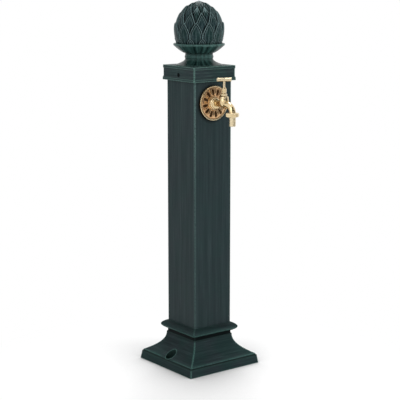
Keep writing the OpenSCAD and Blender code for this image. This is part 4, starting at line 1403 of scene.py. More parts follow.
@dataclass(frozen=True)
class ScaleRow:
    """One ring of scales: root and tip as shares of the cone's height, offset and width in steps.

    Lift and close say how far the scales stand off and how much they bend back in; shade, glint and
    edge say how much painted shade lies at their roots, how strong a painted highlight some of their
    tips get and how bright their rims are.
    """

    root: float
    tip: float
    offset: float
    width: float
    count: int = 12
    lift: float = 1.0
    close: float = 0.0
    shade: float = 0.95
    glint: float = 0.0
    edge: float = 1.0


@dataclass
class PineCone:
    """The pine cone: a smooth core with rings of overlapping pointed scales."""

    belly_z: float = 34.0
    core_r: float = 57.5
    roundness: float = 0.74
    foot_draw: float = 0.075
    lift: float = 7.5
    root_lift: float = 0.22
    bed: float = 3.0
    shoulder: float = 0.40
    root_share: float = 0.3
    point: float = 1.75
    line_w: float = 1.0
    rim_at: float = 1.1
    rim_h: float = 1.1
    band_at: float = 3.4
    band_w: float = 1.4
    band_d: float = 1.3
    inner_at: float = 5.8
    inner_h: float = 0.6
    bulge: float = 1.3
    veins: int = 5
    vein_h: float = 0.3
    vein_fade: float = 0.7
    curl: float = 1.5
    swell: float = 0.9
    relief_from: Range = (0.02, 0.2)
    edge_w: float = 0.4
    uneven: float = 0.055
    uneven_by: Range = (5.7, 9.1)
    uneven_tip: float = 0.5
    uneven_turn: float = 0.4
    # Painted shadow beside the scales in front, painted shade at the roots and in each scale's band
    crease_w: Range = (0.6, 5.6)
    crease_end: float = 0.92
    root_dark: Range = (0.2, 0.46)
    band_shade: float = 0.95
    rim_rub: float = 0.95
    inner_rub: float = 0.5
    vein_rub: float = 0.4
    # Painted highlights on some tips of a ring
    glint_from: Range = (0.66, 0.9)
    glinting: tuple[int, ...] = (2, 3)
    glint_every: int = 5
    along: int = 30
    stud_hole_r: float = 5.2
    hole_top: float = 40.0
    drill_tip: float = 2.0
    core_stops: int = 40
    # Painted shade on the core, which shows between the scales
    core_shade_fade: Range = (0.94, 0.98)
    core_rub: float = 0.1
    least: float = 4e-4
    sharp: float = 55.0
    rows: tuple[ScaleRow, ...] = (
        ScaleRow(-0.02, 0.185, 0.0, 0.62, lift=0.62, shade=0.2),
        ScaleRow(0.00, 0.530, 0.5, 1.04, shade=0.8),
        ScaleRow(0.20, 0.765, 0.0, 1.02),
        ScaleRow(0.46, 0.885, 0.5, 1.00, glint=1.0, edge=0.8),
        ScaleRow(0.68, 0.960, 0.0, 0.98, lift=0.85, close=0.3, edge=0.5),
        ScaleRow(0.80, 1.000, 0.5, 0.95, 6, 0.5, 1.0, edge=0.35),
    )
    across: tuple[float, ...] = (
        0.0, 0.15, 0.3, 0.42, 0.52, 0.6, 0.66, 0.71, 0.75, 0.79, 0.83, 0.87, 0.905, 0.935, 0.96, 0.98, 1.0,
    )

    def __post_init__(self) -> None:
        """Reads the cone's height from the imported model."""
        low, high = span("finial_cone")
        self.low, self.height = low[2], high[2] - low[2]

    def core(self, z: Array) -> Array:
        """Draws the core: a drawn-in foot below the belly and a rounded point above it.

        Args:
            z: Heights over the cone's foot.

        Returns:
            The radius at each height.
        """
        up = np.clip((z - self.belly_z) / (self.height - self.belly_z), 0.0, 1.0)
        down = np.clip((self.belly_z - z) / self.belly_z, 0.0, 1.0)
        return self.core_r * np.where(
            z > self.belly_z,
            np.maximum(self.least, 1 - up**2) ** self.roundness,
            1 - self.foot_draw * down**2,
        )

    def spread(self, v: Array) -> Array:
        """Gives a scale's half-width over its length v: a full shoulder that runs to a point."""
        return np.where(
            v < self.shoulder,
            1 - self.root_share * (1 - v / self.shoulder) ** 2,
            1 - np.clip((v - self.shoulder) / (1 - self.shoulder), 0.0, 1.0) ** self.point,
        )

    def half_angle(self, row: ScaleRow, v: Array) -> Array:
        """Gives half the angle that a scale of a ring spans, from its root to its point."""
        return math.pi / row.count * row.width * self.spread(v)

    def crease(self, row: ScaleRow, below: ScaleRow, z: Array, turn: Array, radius: Array) -> Array:
        """Paints shadow on a scale next to the two scales in front of it.

        Those stand half a step to each side. What is left of the half step after the angle from the
        scale's own middle and their half-angle, times the radius, is the way to their edge.

        Args:
            row: The scale's own ring.
            below: The ring in front of it.
            z: Heights over the cone's foot.
            turn: Angles from the scale's middle.
            radius: The face's radius.

        Returns:
            1 under the other scales and at their edge, fading to 0 beside it.
        """
        share = np.clip((z / self.height - below.root) / (below.tip - below.root), 0.0, 1.0)
        way = (math.pi / row.count - np.abs(turn) - self.half_angle(below, share)) * radius
        return (1 - ease(way, *self.crease_w)) * (1 - ease(share, self.crease_end, 1.0))

    def scale(self, row: ScaleRow, index: int, below: ScaleRow | None) -> Shell:
        """Makes one scale as a closed leaf on the core.

        Across it, u runs from edge to edge; along it, v runs from root to point. The face stands off
        the core by the lift, with a rim along its edge, a valley inside the rim and veins from the
        root; the bed lies inside the core.

        Args:
            row: The ring that the scale belongs to.
            index: Its number in the ring, which sets how it differs from its neighbours.
            below: The ring in front of it, if that has as many scales.

        Returns:
            The scale in the cone's own axes.
        """
        half = np.array(self.across)
        top = np.concatenate((-half[::-1], half[1:]))
        bed = np.array((1.0, 0.5, 0.0, -0.5, -1.0))
        u = np.concatenate((top, bed))[None, :]
        face = np.concatenate((np.ones_like(top), np.zeros_like(bed)))[None, :]
        v = np.linspace(0.0, 1.0, self.along)[:, None]
        odd = self.uneven * math.sin(self.uneven_by[0] * index + self.uneven_by[1] * row.root)
        step = 2 * math.pi / row.count
        tip = row.tip + self.uneven_tip * odd * (row.tip - row.root)
        z = np.maximum(0.0, self.height * (row.root + (tip - row.root) * v))
        core = self.core(z)
        half_angle = self.half_angle(row, v)
        inward = (1 - np.abs(u)) * half_angle * (core + self.lift)
        slope = self.root_lift + (1 - self.root_lift) * v**self.swell
        rise = self.lift * row.lift * (1 + odd) * slope * (1 - row.close * v**2)
        fade = ease(v, *self.relief_from) * (1 - row.close * v**4)
        outer = bell(inward - self.rim_at, self.line_w)
        band = bell(inward - self.band_at, self.band_w)
        inner = bell(inward - self.inner_at, self.line_w)
        ridge = np.cos(math.pi * self.veins * u) * (1 - np.abs(u)) * (1 - self.vein_fade * v)
        belly = (1 - u**2) * np.sin(math.pi * v)
        relief = self.rim_h * outer - self.band_d * band + self.inner_h * inner
        relief = row.lift * fade * (relief + self.vein_h * ridge + self.bulge * belly + self.curl * v**4)
        edge_drop = row.lift * bell(inward, self.edge_w)
        radius = core + np.where(face > 0, rise + relief - edge_drop, -self.bed)
        angle = u * half_angle + step * (index + row.offset) + self.uneven_turn * odd
        x, y = radius * np.cos(angle), radius * np.sin(angle)
        points = np.stack(np.broadcast_arrays(x, y, z), axis=-1)
        root = np.broadcast_to(points[:1].mean(axis=1, keepdims=True), points[:1].shape)
        # Painted highlight on some tips; rims and veins rubbed
        pale = index % self.glint_every in self.glinting
        tip_glint = row.glint * pale * ease(v, *self.glint_from) * (1 - u**2)
        veined = self.vein_rub * np.maximum(ridge, 0.0) ** 2
        lines = row.edge * (self.rim_rub * outer + self.inner_rub * inner + veined) + tip_glint
        wear_and_highlight = face * np.clip(lines, 0.0, 1.0)
        # Painted shade at the roots; where a ring stands in front, painted shadow beside its scales
        if below is None:
            front_shade = row.shade * (1 - ease(v, *self.root_dark))
        else:
            front_shade = row.shade * self.crease(row, below, z, u * half_angle, core + self.lift)
        # Painted shade in each scale's band; the bed under the scale is fully shaded
        dirt_and_shade = np.clip(self.band_shade * band + front_shade - tip_glint, 0.0, 1.0)
        grime_and_shade = np.where(face > 0, dirt_and_shade, 1.0)
        wear_and_highlight, grime_and_shade = (np.concatenate((value[:1], value)) for value in (wear_and_highlight, grime_and_shade))
        return grid_shell(np.concatenate((root, points)), wear_and_highlight, grime_and_shade, closed_rows=False)

    def build(self) -> None:
        """Turns the core, sets every ring of scales on it and paints the whole, with painted shade on the
        core where it shows between the scales.
        """
        z = self.height * np.sin(np.linspace(0.0, QUARTER, self.core_stops))
        hole_z = self.height - self.hole_top
        outline = Outline.of(
            np.column_stack((self.core(z), z))[:-1],
            [(0.0, self.height), (0.0, hole_z), (self.stud_hole_r, hole_z - self.drill_tip)],
            [(self.stud_hole_r, 0.0)],
        )
        core = lathe(outline)
        # Painted shade on the core below its point
        dark = 1 - ease(core.points[:, 2], *(share * self.height for share in self.core_shade_fade))
        core = replace(core, wear_and_highlight=self.core_rub * (1 - dark), grime_and_shade=dark)
        pairs = zip(self.rows, self.rows[1:])
        fronts = (None, *(low if low.count == high.count else None for low, high in pairs))
        scales = [
            self.scale(row, index, below)
            for row, below in zip(self.rows, fronts) for index in range(row.count)
        ]
        cone = mesh_object("finial_pine_cone", core.joined(*scales).placed(Seat((0.0, 0.0, self.low))))
        dress(cone, CONE_PAINT, Slot.CAST, "finial_cone", crease=self.sharp)


@dataclass
class Rosette:
    """The brass wall plate: a rim, twelve petals with dark slots between them, and a domed boss."""

    rim_t: float = 5.0
    rim_w: float = 4.0
    rim_slope: float = 1.2
    boss_r: float = 15.2
    boss_sink: float = 0.2
    bore_r: float = 10.73
    bore_land: float = 1.6
    petals: int = 12
    petal_d: float = 1.6
    petal_gap: float = 2.0
    petal_fade: float = 2.0
    petal_rise: float = 0.5
    crown: float = 1.8
    slot_in: float = 8.0
    slot_out: float = 11.4
    slot_floor: float = 1.2
    slot_r: Range = (2.2, 3.4)
    slot_edge: float = 0.35
    slot_dirt: float = 0.6
    dirt_at: float = 0.2
    dirt_w: float = 1.5
    lip_h: float = 0.4
    lip_at: float = 0.9
    lip_w: float = 0.55
    # The rim gets lighter towards the bottom
    rim_rub: Range = (0.72, 0.4)
    rim_from: Range = (-0.6, 0.2)
    boss_rub: Range = (1.2, 2.8)
    boss_wear: float = 0.9
    boss_clean: float = 0.8
    turn: float = math.radians(9.0)
    # A painted highlight on the petals to the lower right of the boss
    touch: float = 0.6
    highlight_at: float = math.radians(-35.0)
    highlight_w: float = 0.3
    edge: float = 0.9
    # How far the darkened outer side reaches, a painted reflection
    side_w: float = 0.3
    back_t: float = 1.0
    grid: float = 1.0
    curve_turn: float = 25.0
    curve_stops: int = 40
    dome_stops: int = 10
    stops: tuple[float, ...] = (
        -13, -11, -9, -7, -5.6, -5, -4.5, -4.1, -3.7, -3, -1.5, 0,
        1.5, 3, 3.7, 4.1, 4.5, 5, 5.6, 7, 9, 11, 13, 15,
    )
    crease: float = 50.0

    def __post_init__(self) -> None:
        """Reads the plate's radius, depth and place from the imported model."""
        low, high = span("rosette")
        self.reach, self.face_y, self.depth = high[0], high[1], high[1] - low[1]
        self.centre = middle("rosette")[2]
        self.field_in, self.field_out = self.boss_r + self.petal_gap, self.reach - self.rim_w
        self.rim_r = self.field_out + self.rim_slope

    def relief(self, r: Array, phi: Array, plain: Array) -> tuple[Array, Array]:
        """Cuts the slots into the plain section and crowns the petals between them.

        A slot is a tapered bar with round ends along a ray; its distance gives the cut, and a low lip
        runs round it.

        Args:
            r: Radius of each point.
            phi: Angle from the nearest slot's ray.
            plain: Height of the section before the cut.

        Returns:
            The height and the grime of each point.
        """
        x, y = r * np.cos(phi), r * np.sin(phi)
        inner, outer = self.boss_r + self.slot_in, self.reach - self.slot_out
        t = np.clip((x - inner) / (outer - inner), 0.0, 1.0)
        width = self.slot_r[0] + (self.slot_r[1] - self.slot_r[0]) * t
        off = np.hypot(x - (inner + (outer - inner) * t), y) - width
        cut = 1 - ease(off, -self.slot_edge, self.slot_edge)
        lip = self.lip_h * bell(off - self.lip_at, self.lip_w)
        inside = ease(r, self.field_in, self.field_in + self.petal_fade)
        inside = inside * (1 - ease(r, self.field_out - self.petal_fade, self.field_out))
        across = 1 - np.cos(self.petals * phi)
        height = plain + inside * (lip + self.petal_rise * across)
        height = height * (1 - cut) + self.slot_floor * cut
        around = self.slot_dirt * bell(off - self.dirt_at, self.dirt_w) * inside
        return height, np.clip(cut + around, 0.0, 1.0)

    def outline(self) -> Outline:
        """Draws the plain section: the petals are crowned by a sine, and the boss is a quarter ellipse.

        Returns:
            The closed outline.
        """
        base = self.rim_t - self.petal_d
        t = np.linspace(0.0, 1.0, self.curve_stops)
        petal_r = self.field_out + (self.field_in - self.field_out) * t
        a = np.linspace(0.0, QUARTER, self.dome_stops)
        land = self.bore_r + self.bore_land
        dome_r = land + (self.boss_r - land) * np.cos(a)
        return Outline.of(
            [(self.bore_r, 0.0), (self.reach, 0.0), (self.reach, self.rim_t), (self.rim_r, self.rim_t)],
            np.column_stack((petal_r, base + self.crown * np.sin(math.pi * t))),
            [(self.boss_r, base + self.boss_sink)],
            np.column_stack((dome_r, self.rim_t + (self.depth - self.rim_t) * np.sin(a))),
            [(self.bore_r, self.depth)],
        ).rounded(self.edge, self.curve_turn).spaced(self.grid)

    def build(self) -> None:
        """Works out the plate as heights over radius and angle, and stands it on the column's face."""
        outline = self.outline()
        phi = np.tile(np.radians(self.stops), self.petals)[None, :]
        rays = np.repeat(np.arange(self.petals) * (2 * math.pi / self.petals), len(self.stops))
        angle = self.turn + phi + rays[None, :]
        r, plain = outline.points[:, :1], outline.points[:, 1:2]
        wear_and_highlight, grime_and_shade = (value[:, None] for value in outline.paint())
        height, dirt_and_shade = self.relief(r, phi, plain)
        upper = plain > self.back_t
        height = np.where(upper, height, plain)
        # Painted reflection: the plate's outer side is darkened to the full
        side = (r > self.reach - self.side_w) & (plain < self.rim_t - self.edge)
        clean = 1 - ease(r - self.boss_r, *self.boss_rub)
        corners = np.maximum(grime_and_shade * (1 - self.boss_clean * clean), side)
        dirt_and_shade = np.maximum(np.where(upper, dirt_and_shade, 0.0), corners)
        points = np.stack(np.broadcast_arrays(r * np.cos(angle), r * np.sin(angle), height), axis=-1)
        # The rim gets lighter towards the bottom
        below = np.clip(self.rim_rub[0] - self.rim_rub[1] * np.sin(angle), 0.0, 1.0)
        rim = ease(r - self.rim_r, *self.rim_from) * below
        # Painted highlight on the petals to the lower right of the boss
        highlighted = self.touch * bell(np.sin(0.5 * (angle - self.highlight_at)), self.highlight_w)
        highlighted = highlighted * (1 - ease(r, self.boss_r, self.field_out))
        rubbed = np.maximum.reduce(np.broadcast_arrays(wear_and_highlight, self.boss_wear * clean, rim, highlighted))
        shell = grid_shell(points, rubbed * (1 - dirt_and_shade), dirt_and_shade)
        plate = mesh_object("rosette_plate", shell.placed(outward_seat(self.face_y, self.centre)))
        dress(plate, ANTIQUE, Slot.ANTIQUE, "rosette", crease=self.crease)


def outward_seat(face_y: float, height: float) -> Seat:
    """Gives a seat on the column's front face, with its Z out of the face and its Y up."""
    return Seat((0.0, face_y, height), (1.0, 0.0, 0.0), (0.0, 0.0, 1.0), (0.0, -1.0, 0.0))


@dataclass
class Tap:
    """The bib tap: body with barrel and spout, bonnet and gland nut, union nut and hose tail."""

    shank_r: float = 10.48
    shoulder_r: float = 13.6
    shoulder_d: float = 11.0
    shoulder_t: float = 4.0
    neck_r: float = 7.5
    barrel_r: float = 12.5
    barrel_round_z: float = 4.5
    barrel_top: float = 16.0
    egg: float = 1.2
    spout_root_z: float = 2.0
    spout_pull: Range = (18.0, 1.0)
    spout_waist: float = 0.6
    spout_r: Point = (9.4, 8.0, 8.6)
    spout_stops: tuple[int, int] = (44, 40)
    bore_start: float = 0.15
    bore_r: Point = (5.6, 5.2, 5.4)
    inlet_bore_r: float = 5.0
    seat_bore_r: float = 4.6
    outlet_r: float = 13.2
    outlet_l: float = 6.0
    outlet_neck: float = 1.5
    collar_r: float = 11.3
    collar_h: float = 5.0
    collar_side: float = 1.0
    collar_top_r: float = 8.0
    skirt_r: float = 9.9
    skirt_wall: float = 2.0
    cavity_h: float = 6.0
    lip_w: float = 0.8
    lip_h: float = 0.9
    groove_r: float = 6.4
    groove_h: float = 1.1
    ring_in: float = 1.9
    spigot_r: float = 4.9
    bonnet_af: float = 14.2
    bonnet_hex_h: float = 7.0
    bonnet_bevel: float = 0.5
    bonnet_ends: Point = (2.6, 2.0, 0.9)
    bonnet_flat: float = 0.3
    bonnet_gap: float = 1.0
    gland_af: float = 11.2
    gland_hex_h: float = 10.8
    gland_bevel: Range = (0.7, 0.5)
    gland_in: float = 0.8
    gland_ends: Point = (1.6, 1.1, 0.8)
    gland_rise: float = 0.3
    gland_cone: Range = (4.9, 3.6)
    packing_w: float = 2.0
    packing_ends: Range = (2.0, 2.4)
    spindle_r: float = 2.9
    union_af: float = 30.0
    union_floor: float = 2.0
    union_bevel: Range = (0.6, 1.8)
    tail_r: float = 8.1
    tail_gap: float = 0.2
    tail_neck: float = 0.3
    tail_bore_r: float = 5.5
    tail_bevel: float = 0.8
    hex_turn: float = 6.0
    fit: float = 0.06
    bonnet_edge: float = 0.35
    washer_edge: float = 0.2
    gland_edge: float = 0.3
    union_edge: float = 0.45
    tail_edge: float = 0.4
    grid: float = 0.8
    outlet_grid: float = 1.0
    dome_stops: int = 12
    bowl_stops: int = 24
    throat_stops: int = 14
    collar_stops: int = 9
    voxel: float = 0.36
    soften: int = 7
    crease: float = 60.0
    segments: int = 144

    def __post_init__(self) -> None:
        """Reads the axes of the inlet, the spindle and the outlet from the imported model."""
        low, high = span("tap_body")
        self.face_y, self.axis_z = span("rosette")[1][1], middle("rosette")[2]
        self.spindle_y, self.outlet_y = middle("spindle")[1], middle("hose_tail")[1]
        self.outlet_z, self.shank_d = low[2], self.face_y - high[1]
        self.top = self.axis_z + self.barrel_top
        self.front = outward_seat(self.face_y, self.axis_z)
        self.stem = Seat((0.0, self.spindle_y, 0.0))
        self.drop = Seat((0.0, self.outlet_y, 0.0))

    def spout(self, start: float, radii: Point) -> Shell:
        """Carries a round section along a curve from the barrel down to the outlet.

        The curve is a cubic drawn by four pulls in the plane of X = 0: at a turn f its direction is
        (0, -cos f, -sin f), and the section's circle lies across it. Both ends are drawn to a point.

        Args:
            start: The share of the curve that is left out at its root.
            radii: The section's radius at the root, beyond the middle and at the outlet.

        Returns:
            The spout's skin, or a bar that cuts its bore.
        """
        along, round_stops = self.spout_stops
        t = np.linspace(start, 1.0, along)
        pull = np.array([
            (self.spindle_y, self.axis_z + self.spout_root_z),
            (self.spindle_y - self.spout_pull[0], self.axis_z),
            (self.outlet_y, self.axis_z - self.spout_pull[1]),
            (self.outlet_y, self.outlet_z),
        ])
        weight = np.stack(((1 - t) ** 3, 3 * t * (1 - t) ** 2, 3 * t**2 * (1 - t), t**3), axis=1)
        y, z = (weight @ pull).T
        f = np.arctan2(-np.gradient(z), -np.gradient(y))
        radius = np.interp(t, (0.0, self.spout_waist, 1.0), radii)
        ends = np.concatenate(([0], np.arange(len(f)), [len(f) - 1]))
        y, z, f, radius = (value[ends][:, None] for value in (y, z, f, radius))
        radius[[0, -1]] = 0.0
        around = np.linspace(0.0, 2 * math.pi, round_stops, endpoint=False)[None, :]
        across, up = radius * np.cos(around), radius * np.sin(around)
        points = np.stack(np.broadcast_arrays(across, y - up * np.sin(f), z + up * np.cos(f)), axis=-1)
        bare = np.zeros(points.shape[:2])
        return grid_shell(points, bare, bare, closed_rows=False)

    def shoulder(self) -> Shell:
        """Turns the shoulder in front of the rosette, whose face is a quarter ellipse.

        Returns:
            The shoulder.
        """
        bow = np.linspace(0.0, QUARTER, self.dome_stops)
        dome_r = self.neck_r + (self.shoulder_r - self.neck_r) * np.cos(bow)
        dome = np.column_stack((dome_r, self.shoulder_d + PAST_MM + self.shoulder_t * np.sin(bow)))
        disc = [(0.0, self.shoulder_d), (self.shoulder_r, self.shoulder_d)]
        return lathe(Outline.of(disc, dome, [(0.0, dome[-1, 1])])).placed(self.front)

    def barrel(self) -> Shell:
        """Turns the barrel: a round bowl, and a throat that draws in by the square of its height.

        Returns:
            The barrel.
        """
        a = np.linspace(-QUARTER, 0.0, self.bowl_stops)
        bowl = np.column_stack((self.barrel_r * np.cos(a), self.barrel_round_z + self.barrel_r * np.sin(a)))
        rise = np.linspace(0.0, 1.0, self.throat_stops)[1:]
        throat_z = self.barrel_round_z + (self.barrel_top - self.barrel_round_z) * rise
        throat = np.column_stack((self.barrel_r - self.egg * rise**2, throat_z))
        outline = Outline.of(bowl, throat, [(0.0, self.barrel_top)])
        return lathe(outline).placed(Seat((0.0, self.spindle_y, self.axis_z)))

    def body(self) -> None:
        """Casts shank, shoulder, neck, barrel, spout and outlet in one skin, and bores it."""
        spindle_d = self.face_y - self.spindle_y
        seat_z = span("valve_washer")[0][2]
        outlet_top = self.outlet_z + self.outlet_l
        shank = round_bar(self.shank_r, self.shank_d, self.shoulder_d + PAST_MM, self.front, segments=64)
        neck = round_bar(self.neck_r, self.shoulder_d, spindle_d, self.front, segments=64)
        ring_top = outlet_top - self.outlet_neck
        ring = round_bar(self.outlet_r, self.outlet_z, ring_top, self.drop, segments=72)
        skins = (self.shoulder(), neck, self.barrel(), self.spout(0.0, self.spout_r), ring)
        body = mesh_object("tap_casting", shank.joined(*skins))
        fuse(body, self.voxel, self.soften)
        carve(
            body,
            round_bar(self.skirt_r + self.fit, seat_z, self.top + PAST_MM, self.stem, segments=72),
            round_bar(self.seat_bore_r, self.axis_z, seat_z + PAST_MM, self.stem),
            round_bar(self.inlet_bore_r, self.shank_d - PAST_MM, spindle_d, self.front),
            self.spout(self.bore_start, self.bore_r),
            round_bar(self.bore_r[-1], self.outlet_z - PAST_MM, outlet_top + PAST_MM, self.drop),
        )
        dress(body, POLISHED, Slot.POLISHED, "tap_body", crease=self.crease)

    def bonnet(self) -> None:
        """Turns the bonnet's skirt, domed collar, flats, ring and spigot, and the washer in its lip."""
        low, high = span("bonnet")
        base = self.top + self.bonnet_gap
        hex_z = base + self.collar_h
        ring_z = hex_z + self.bonnet_hex_h
        hex_end, ring_low, ring_high = (ring_z - end for end in self.bonnet_ends)
        hexagon = Hexagon(self.bonnet_af, self.hex_turn)
        bore, corner = span("spindle")[1][0] + self.fit, hexagon.corner
        wide, ring = self.collar_r, corner - self.ring_in
        skirt_in, cavity_z = self.skirt_r - self.skirt_wall, low[2] + self.cavity_h
        lip, lip_z = wide - self.lip_w, base - self.lip_h
        a = np.linspace(0.0, QUARTER, self.collar_stops)
        dome_low, dome_high = base + self.collar_side, hex_z - self.groove_h
        dome_r = self.collar_top_r + (wide - self.collar_top_r) * np.cos(a)
        outline = Outline.of(
            [(bore, cavity_z), (skirt_in, cavity_z), (skirt_in, low[2]), (self.skirt_r, low[2])],
            [(self.skirt_r, base), (lip, base), (lip, lip_z), (wide, lip_z)],
            np.column_stack((dome_r, dome_low + (dome_high - dome_low) * np.sin(a))),
            [(self.groove_r, dome_high), (self.groove_r, hex_z), (corner, hex_z + self.bonnet_bevel)],
            [(corner, hex_end), (ring, ring_low), (ring, ring_high)],
            [(self.spigot_r, ring_z), (self.spigot_r, high[2]), (bore, high[2])],
        ).rounded(self.bonnet_edge).spaced(self.grid)
        flats = FlatBand(hexagon, outline, hex_z + self.bonnet_flat, ring_low)
        piece = turned("bonnet_turning", outline, self.stem, self.segments, flats)
        dress(piece, POLISHED, Slot.POLISHED, "bonnet")
        inner, outer, foot = self.skirt_r + self.fit, lip - self.fit, base - self.bonnet_gap
        washer = Outline.of([(inner, foot), (outer, foot), (outer, base), (inner, base)])
        washer = washer.rounded(self.washer_edge)
        ring_piece = turned("bonnet_washer_ring", washer, self.stem, segments=72)
        dress(ring_piece, FIBRE, Slot.FIBRE, "bonnet_washer")

    def gland(self) -> None:
        """Turns the gland nut: flats with a cone on top, round the spindle."""
        low, high = span("gland_nut")
        hexagon = Hexagon(self.gland_af, self.hex_turn)
        bore, corner = self.spindle_r + self.fit, hexagon.corner
        top = low[2] + self.gland_hex_h
        wide, narrow = self.gland_cone
        bevel_in, bevel_h = self.gland_bevel
        hex_end, flat_end, cone_z = (top - end for end in self.gland_ends)
        room, (room_high, room_low) = bore + self.packing_w, (top - end for end in self.packing_ends)
        outline = Outline.of(
            [(room, low[2]), (corner - bevel_in, low[2]), (corner, low[2] + bevel_h), (corner, hex_end)],
            [(corner - self.gland_in, flat_end), (wide, cone_z), (wide, top + self.gland_rise)],
            [(narrow, high[2]), (bore, high[2]), (bore, room_high), (room, room_low)],
        ).rounded(self.gland_edge).spaced(self.grid)
        flats = FlatBand(hexagon, outline, low[2] - PAST_MM, flat_end)
        piece = turned("gland_nut_turning", outline, self.stem, self.segments, flats)
        dress(piece, POLISHED, Slot.POLISHED, "gland_nut")

    def outlet(self) -> None:
        """Turns the union nut and the hose tail below the spout."""
        low, high = span("union_nut")
        floor = low[2] + self.union_floor
        flats = Hexagon(self.union_af, self.hex_turn)
        corner = flats.corner
        bevel = self.union_bevel[0] * (corner - self.union_af / 2)
        face = corner - self.union_bevel[1] * bevel
        bore, thread = self.tail_r + self.tail_gap, self.outlet_r + self.fit
        outline = Outline.of(
            [(bore, low[2]), (face, low[2]), (corner, low[2] + bevel), (corner, high[2] - bevel)],
            [(face, high[2]), (thread, high[2]), (thread, floor), (bore, floor)],
        ).rounded(self.union_edge).spaced(self.outlet_grid)
        nut = turned("union_nut_turning", outline, self.drop, segments=168, section=flats)
        dress(nut, POLISHED, Slot.POLISHED, "union_nut")
        tail_low, tail_high = span("hose_tail")
        foot, head, flange = tail_low[2], tail_high[2], tail_high[0]
        end, neck = self.tail_r - self.tail_bevel, self.tail_r - self.tail_neck
        outline = Outline.of(
            [(self.tail_bore_r, foot), (end, foot), (self.tail_r, foot + self.tail_bevel)],
            [(self.tail_r, low[2]), (neck, low[2]), (neck, floor)],
            [(flange, floor), (flange, head), (self.tail_bore_r, head)],
        ).rounded(self.tail_edge).spaced(self.outlet_grid)
        tail = turned("hose_tail_turning", outline, self.drop, segments=96)
        dress(tail, HANDLED, Slot.POLISHED, "hose_tail")

    def build(self) -> None:
        """Makes the fixed brass of the tap."""
        self.body()
        self.bonnet()
        self.gland()
        self.outlet()


@dataclass
class Handle:
    """What turns by hand: the spindle and its T-bar."""

    angle: float = -37.0
    bar_l: float = 37.0
    bar_r: float = 4.6
    waist: float = 0.4
    waist_share: Range = (0.45, 0.85)
    end_round: float = 1.4
    end_turn: float = 30.0
    end_stops: int = 7
    bar_grid: float = 1.2
    spindle_r: float = 2.9
    thread_r: float = 4.0
    thread_end: float = 5.3
    ring: float = 0.35
    rings: int = 3
    ring_power: int = 6
    shaft_grid: float = 1.5
    stops: int = 60

    def spindle(self, bar_z: float) -> Outline:
        """Draws the spindle: a thread, and a shaft with rings cut as a high power of a cosine.

        Args:
            bar_z: The height of the T-bar's axis.

        Returns:
            The closed outline.
        """
        low, high = (corner[2] for corner in span("spindle"))
        gland_z = span("gland_nut")[1][2]
        thread_top = span("gland_packing")[0][2] - self.thread_end
        t = np.linspace(0.0, 1.0, self.stops)
        shaft_z = gland_z + (bar_z - self.bar_r - gland_z) * t
        cuts = np.maximum(0.0, np.cos(2 * self.rings * math.pi * t)) ** self.ring_power
        shaft = self.spindle_r - self.ring * cuts
        shaft[0] = shaft[-1] = self.spindle_r
        return Outline.of(
            [(0.0, low), (self.thread_r, low), (self.thread_r, thread_top), (self.spindle_r, thread_top)],
            np.column_stack((shaft, shaft_z)),
            [(self.spindle_r, high), (0.0, high)],
        ).spaced(self.shaft_grid)

    def bar(self) -> Outline:
        """Draws the T-bar: a round bar with a slight waist and rounded ends.

        Returns:
            The closed outline.
        """
        half = 0.5 * self.bar_l
        s = np.linspace(-1.0, 1.0, self.stops)
        radius = self.bar_r - self.waist * (1 - ease(np.abs(s), *self.waist_share))
        outline = Outline.of([(0.0, -half)], np.column_stack((radius, half * s)), [(0.0, half)])
        return outline.rounded(self.end_round, self.end_turn, self.end_stops).spaced(self.bar_grid)

    def build(self) -> None:
        """Turns the spindle with its rings, and the T-bar across it."""
        y, bar_z = middle("spindle")[1], middle("tee_handle")[2]
        spindle = turned("spindle_turning", self.spindle(bar_z), Seat((0.0, y, 0.0)), segments=64)
        dress(spindle, HANDLED, Slot.POLISHED, "spindle", body=Body.HANDLE)
        turn = math.radians(self.angle)
        aside, along = (-math.sin(turn), math.cos(turn), 0.0), (math.cos(turn), math.sin(turn), 0.0)
        across = Seat((0.0, y, bar_z), (0.0, 0.0, 1.0), aside, along)
        bar = turned("tee_bar", self.bar(), across, segments=72)
        dress(bar, HANDLED, Slot.POLISHED, "tee_handle", body=Body.HANDLE)


def dress_trim() -> None:
    """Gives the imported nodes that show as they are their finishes."""
    for finish, nodes in TRIM.items():
        for name in nodes:
            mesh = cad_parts[name].data
            mesh.materials.clear()
            mesh.materials.append(made(finish))
            log.info("%s: %s", name, finish.name)


@dataclass(frozen=True)
class Lamp:
    """A soft box: where it hangs, what it looks at, its sides in metres and its power in watts."""

    name: str
    place: Point
    target: Point
    sides: Range
    power: float


@dataclass(frozen=True)
class Card:
    """A dark card that only bright metal sees: its bearing and width in degrees, its heights in metres."""

    bearing: float
    width: float
    low: float
    high: float
    distance: float = 2.4


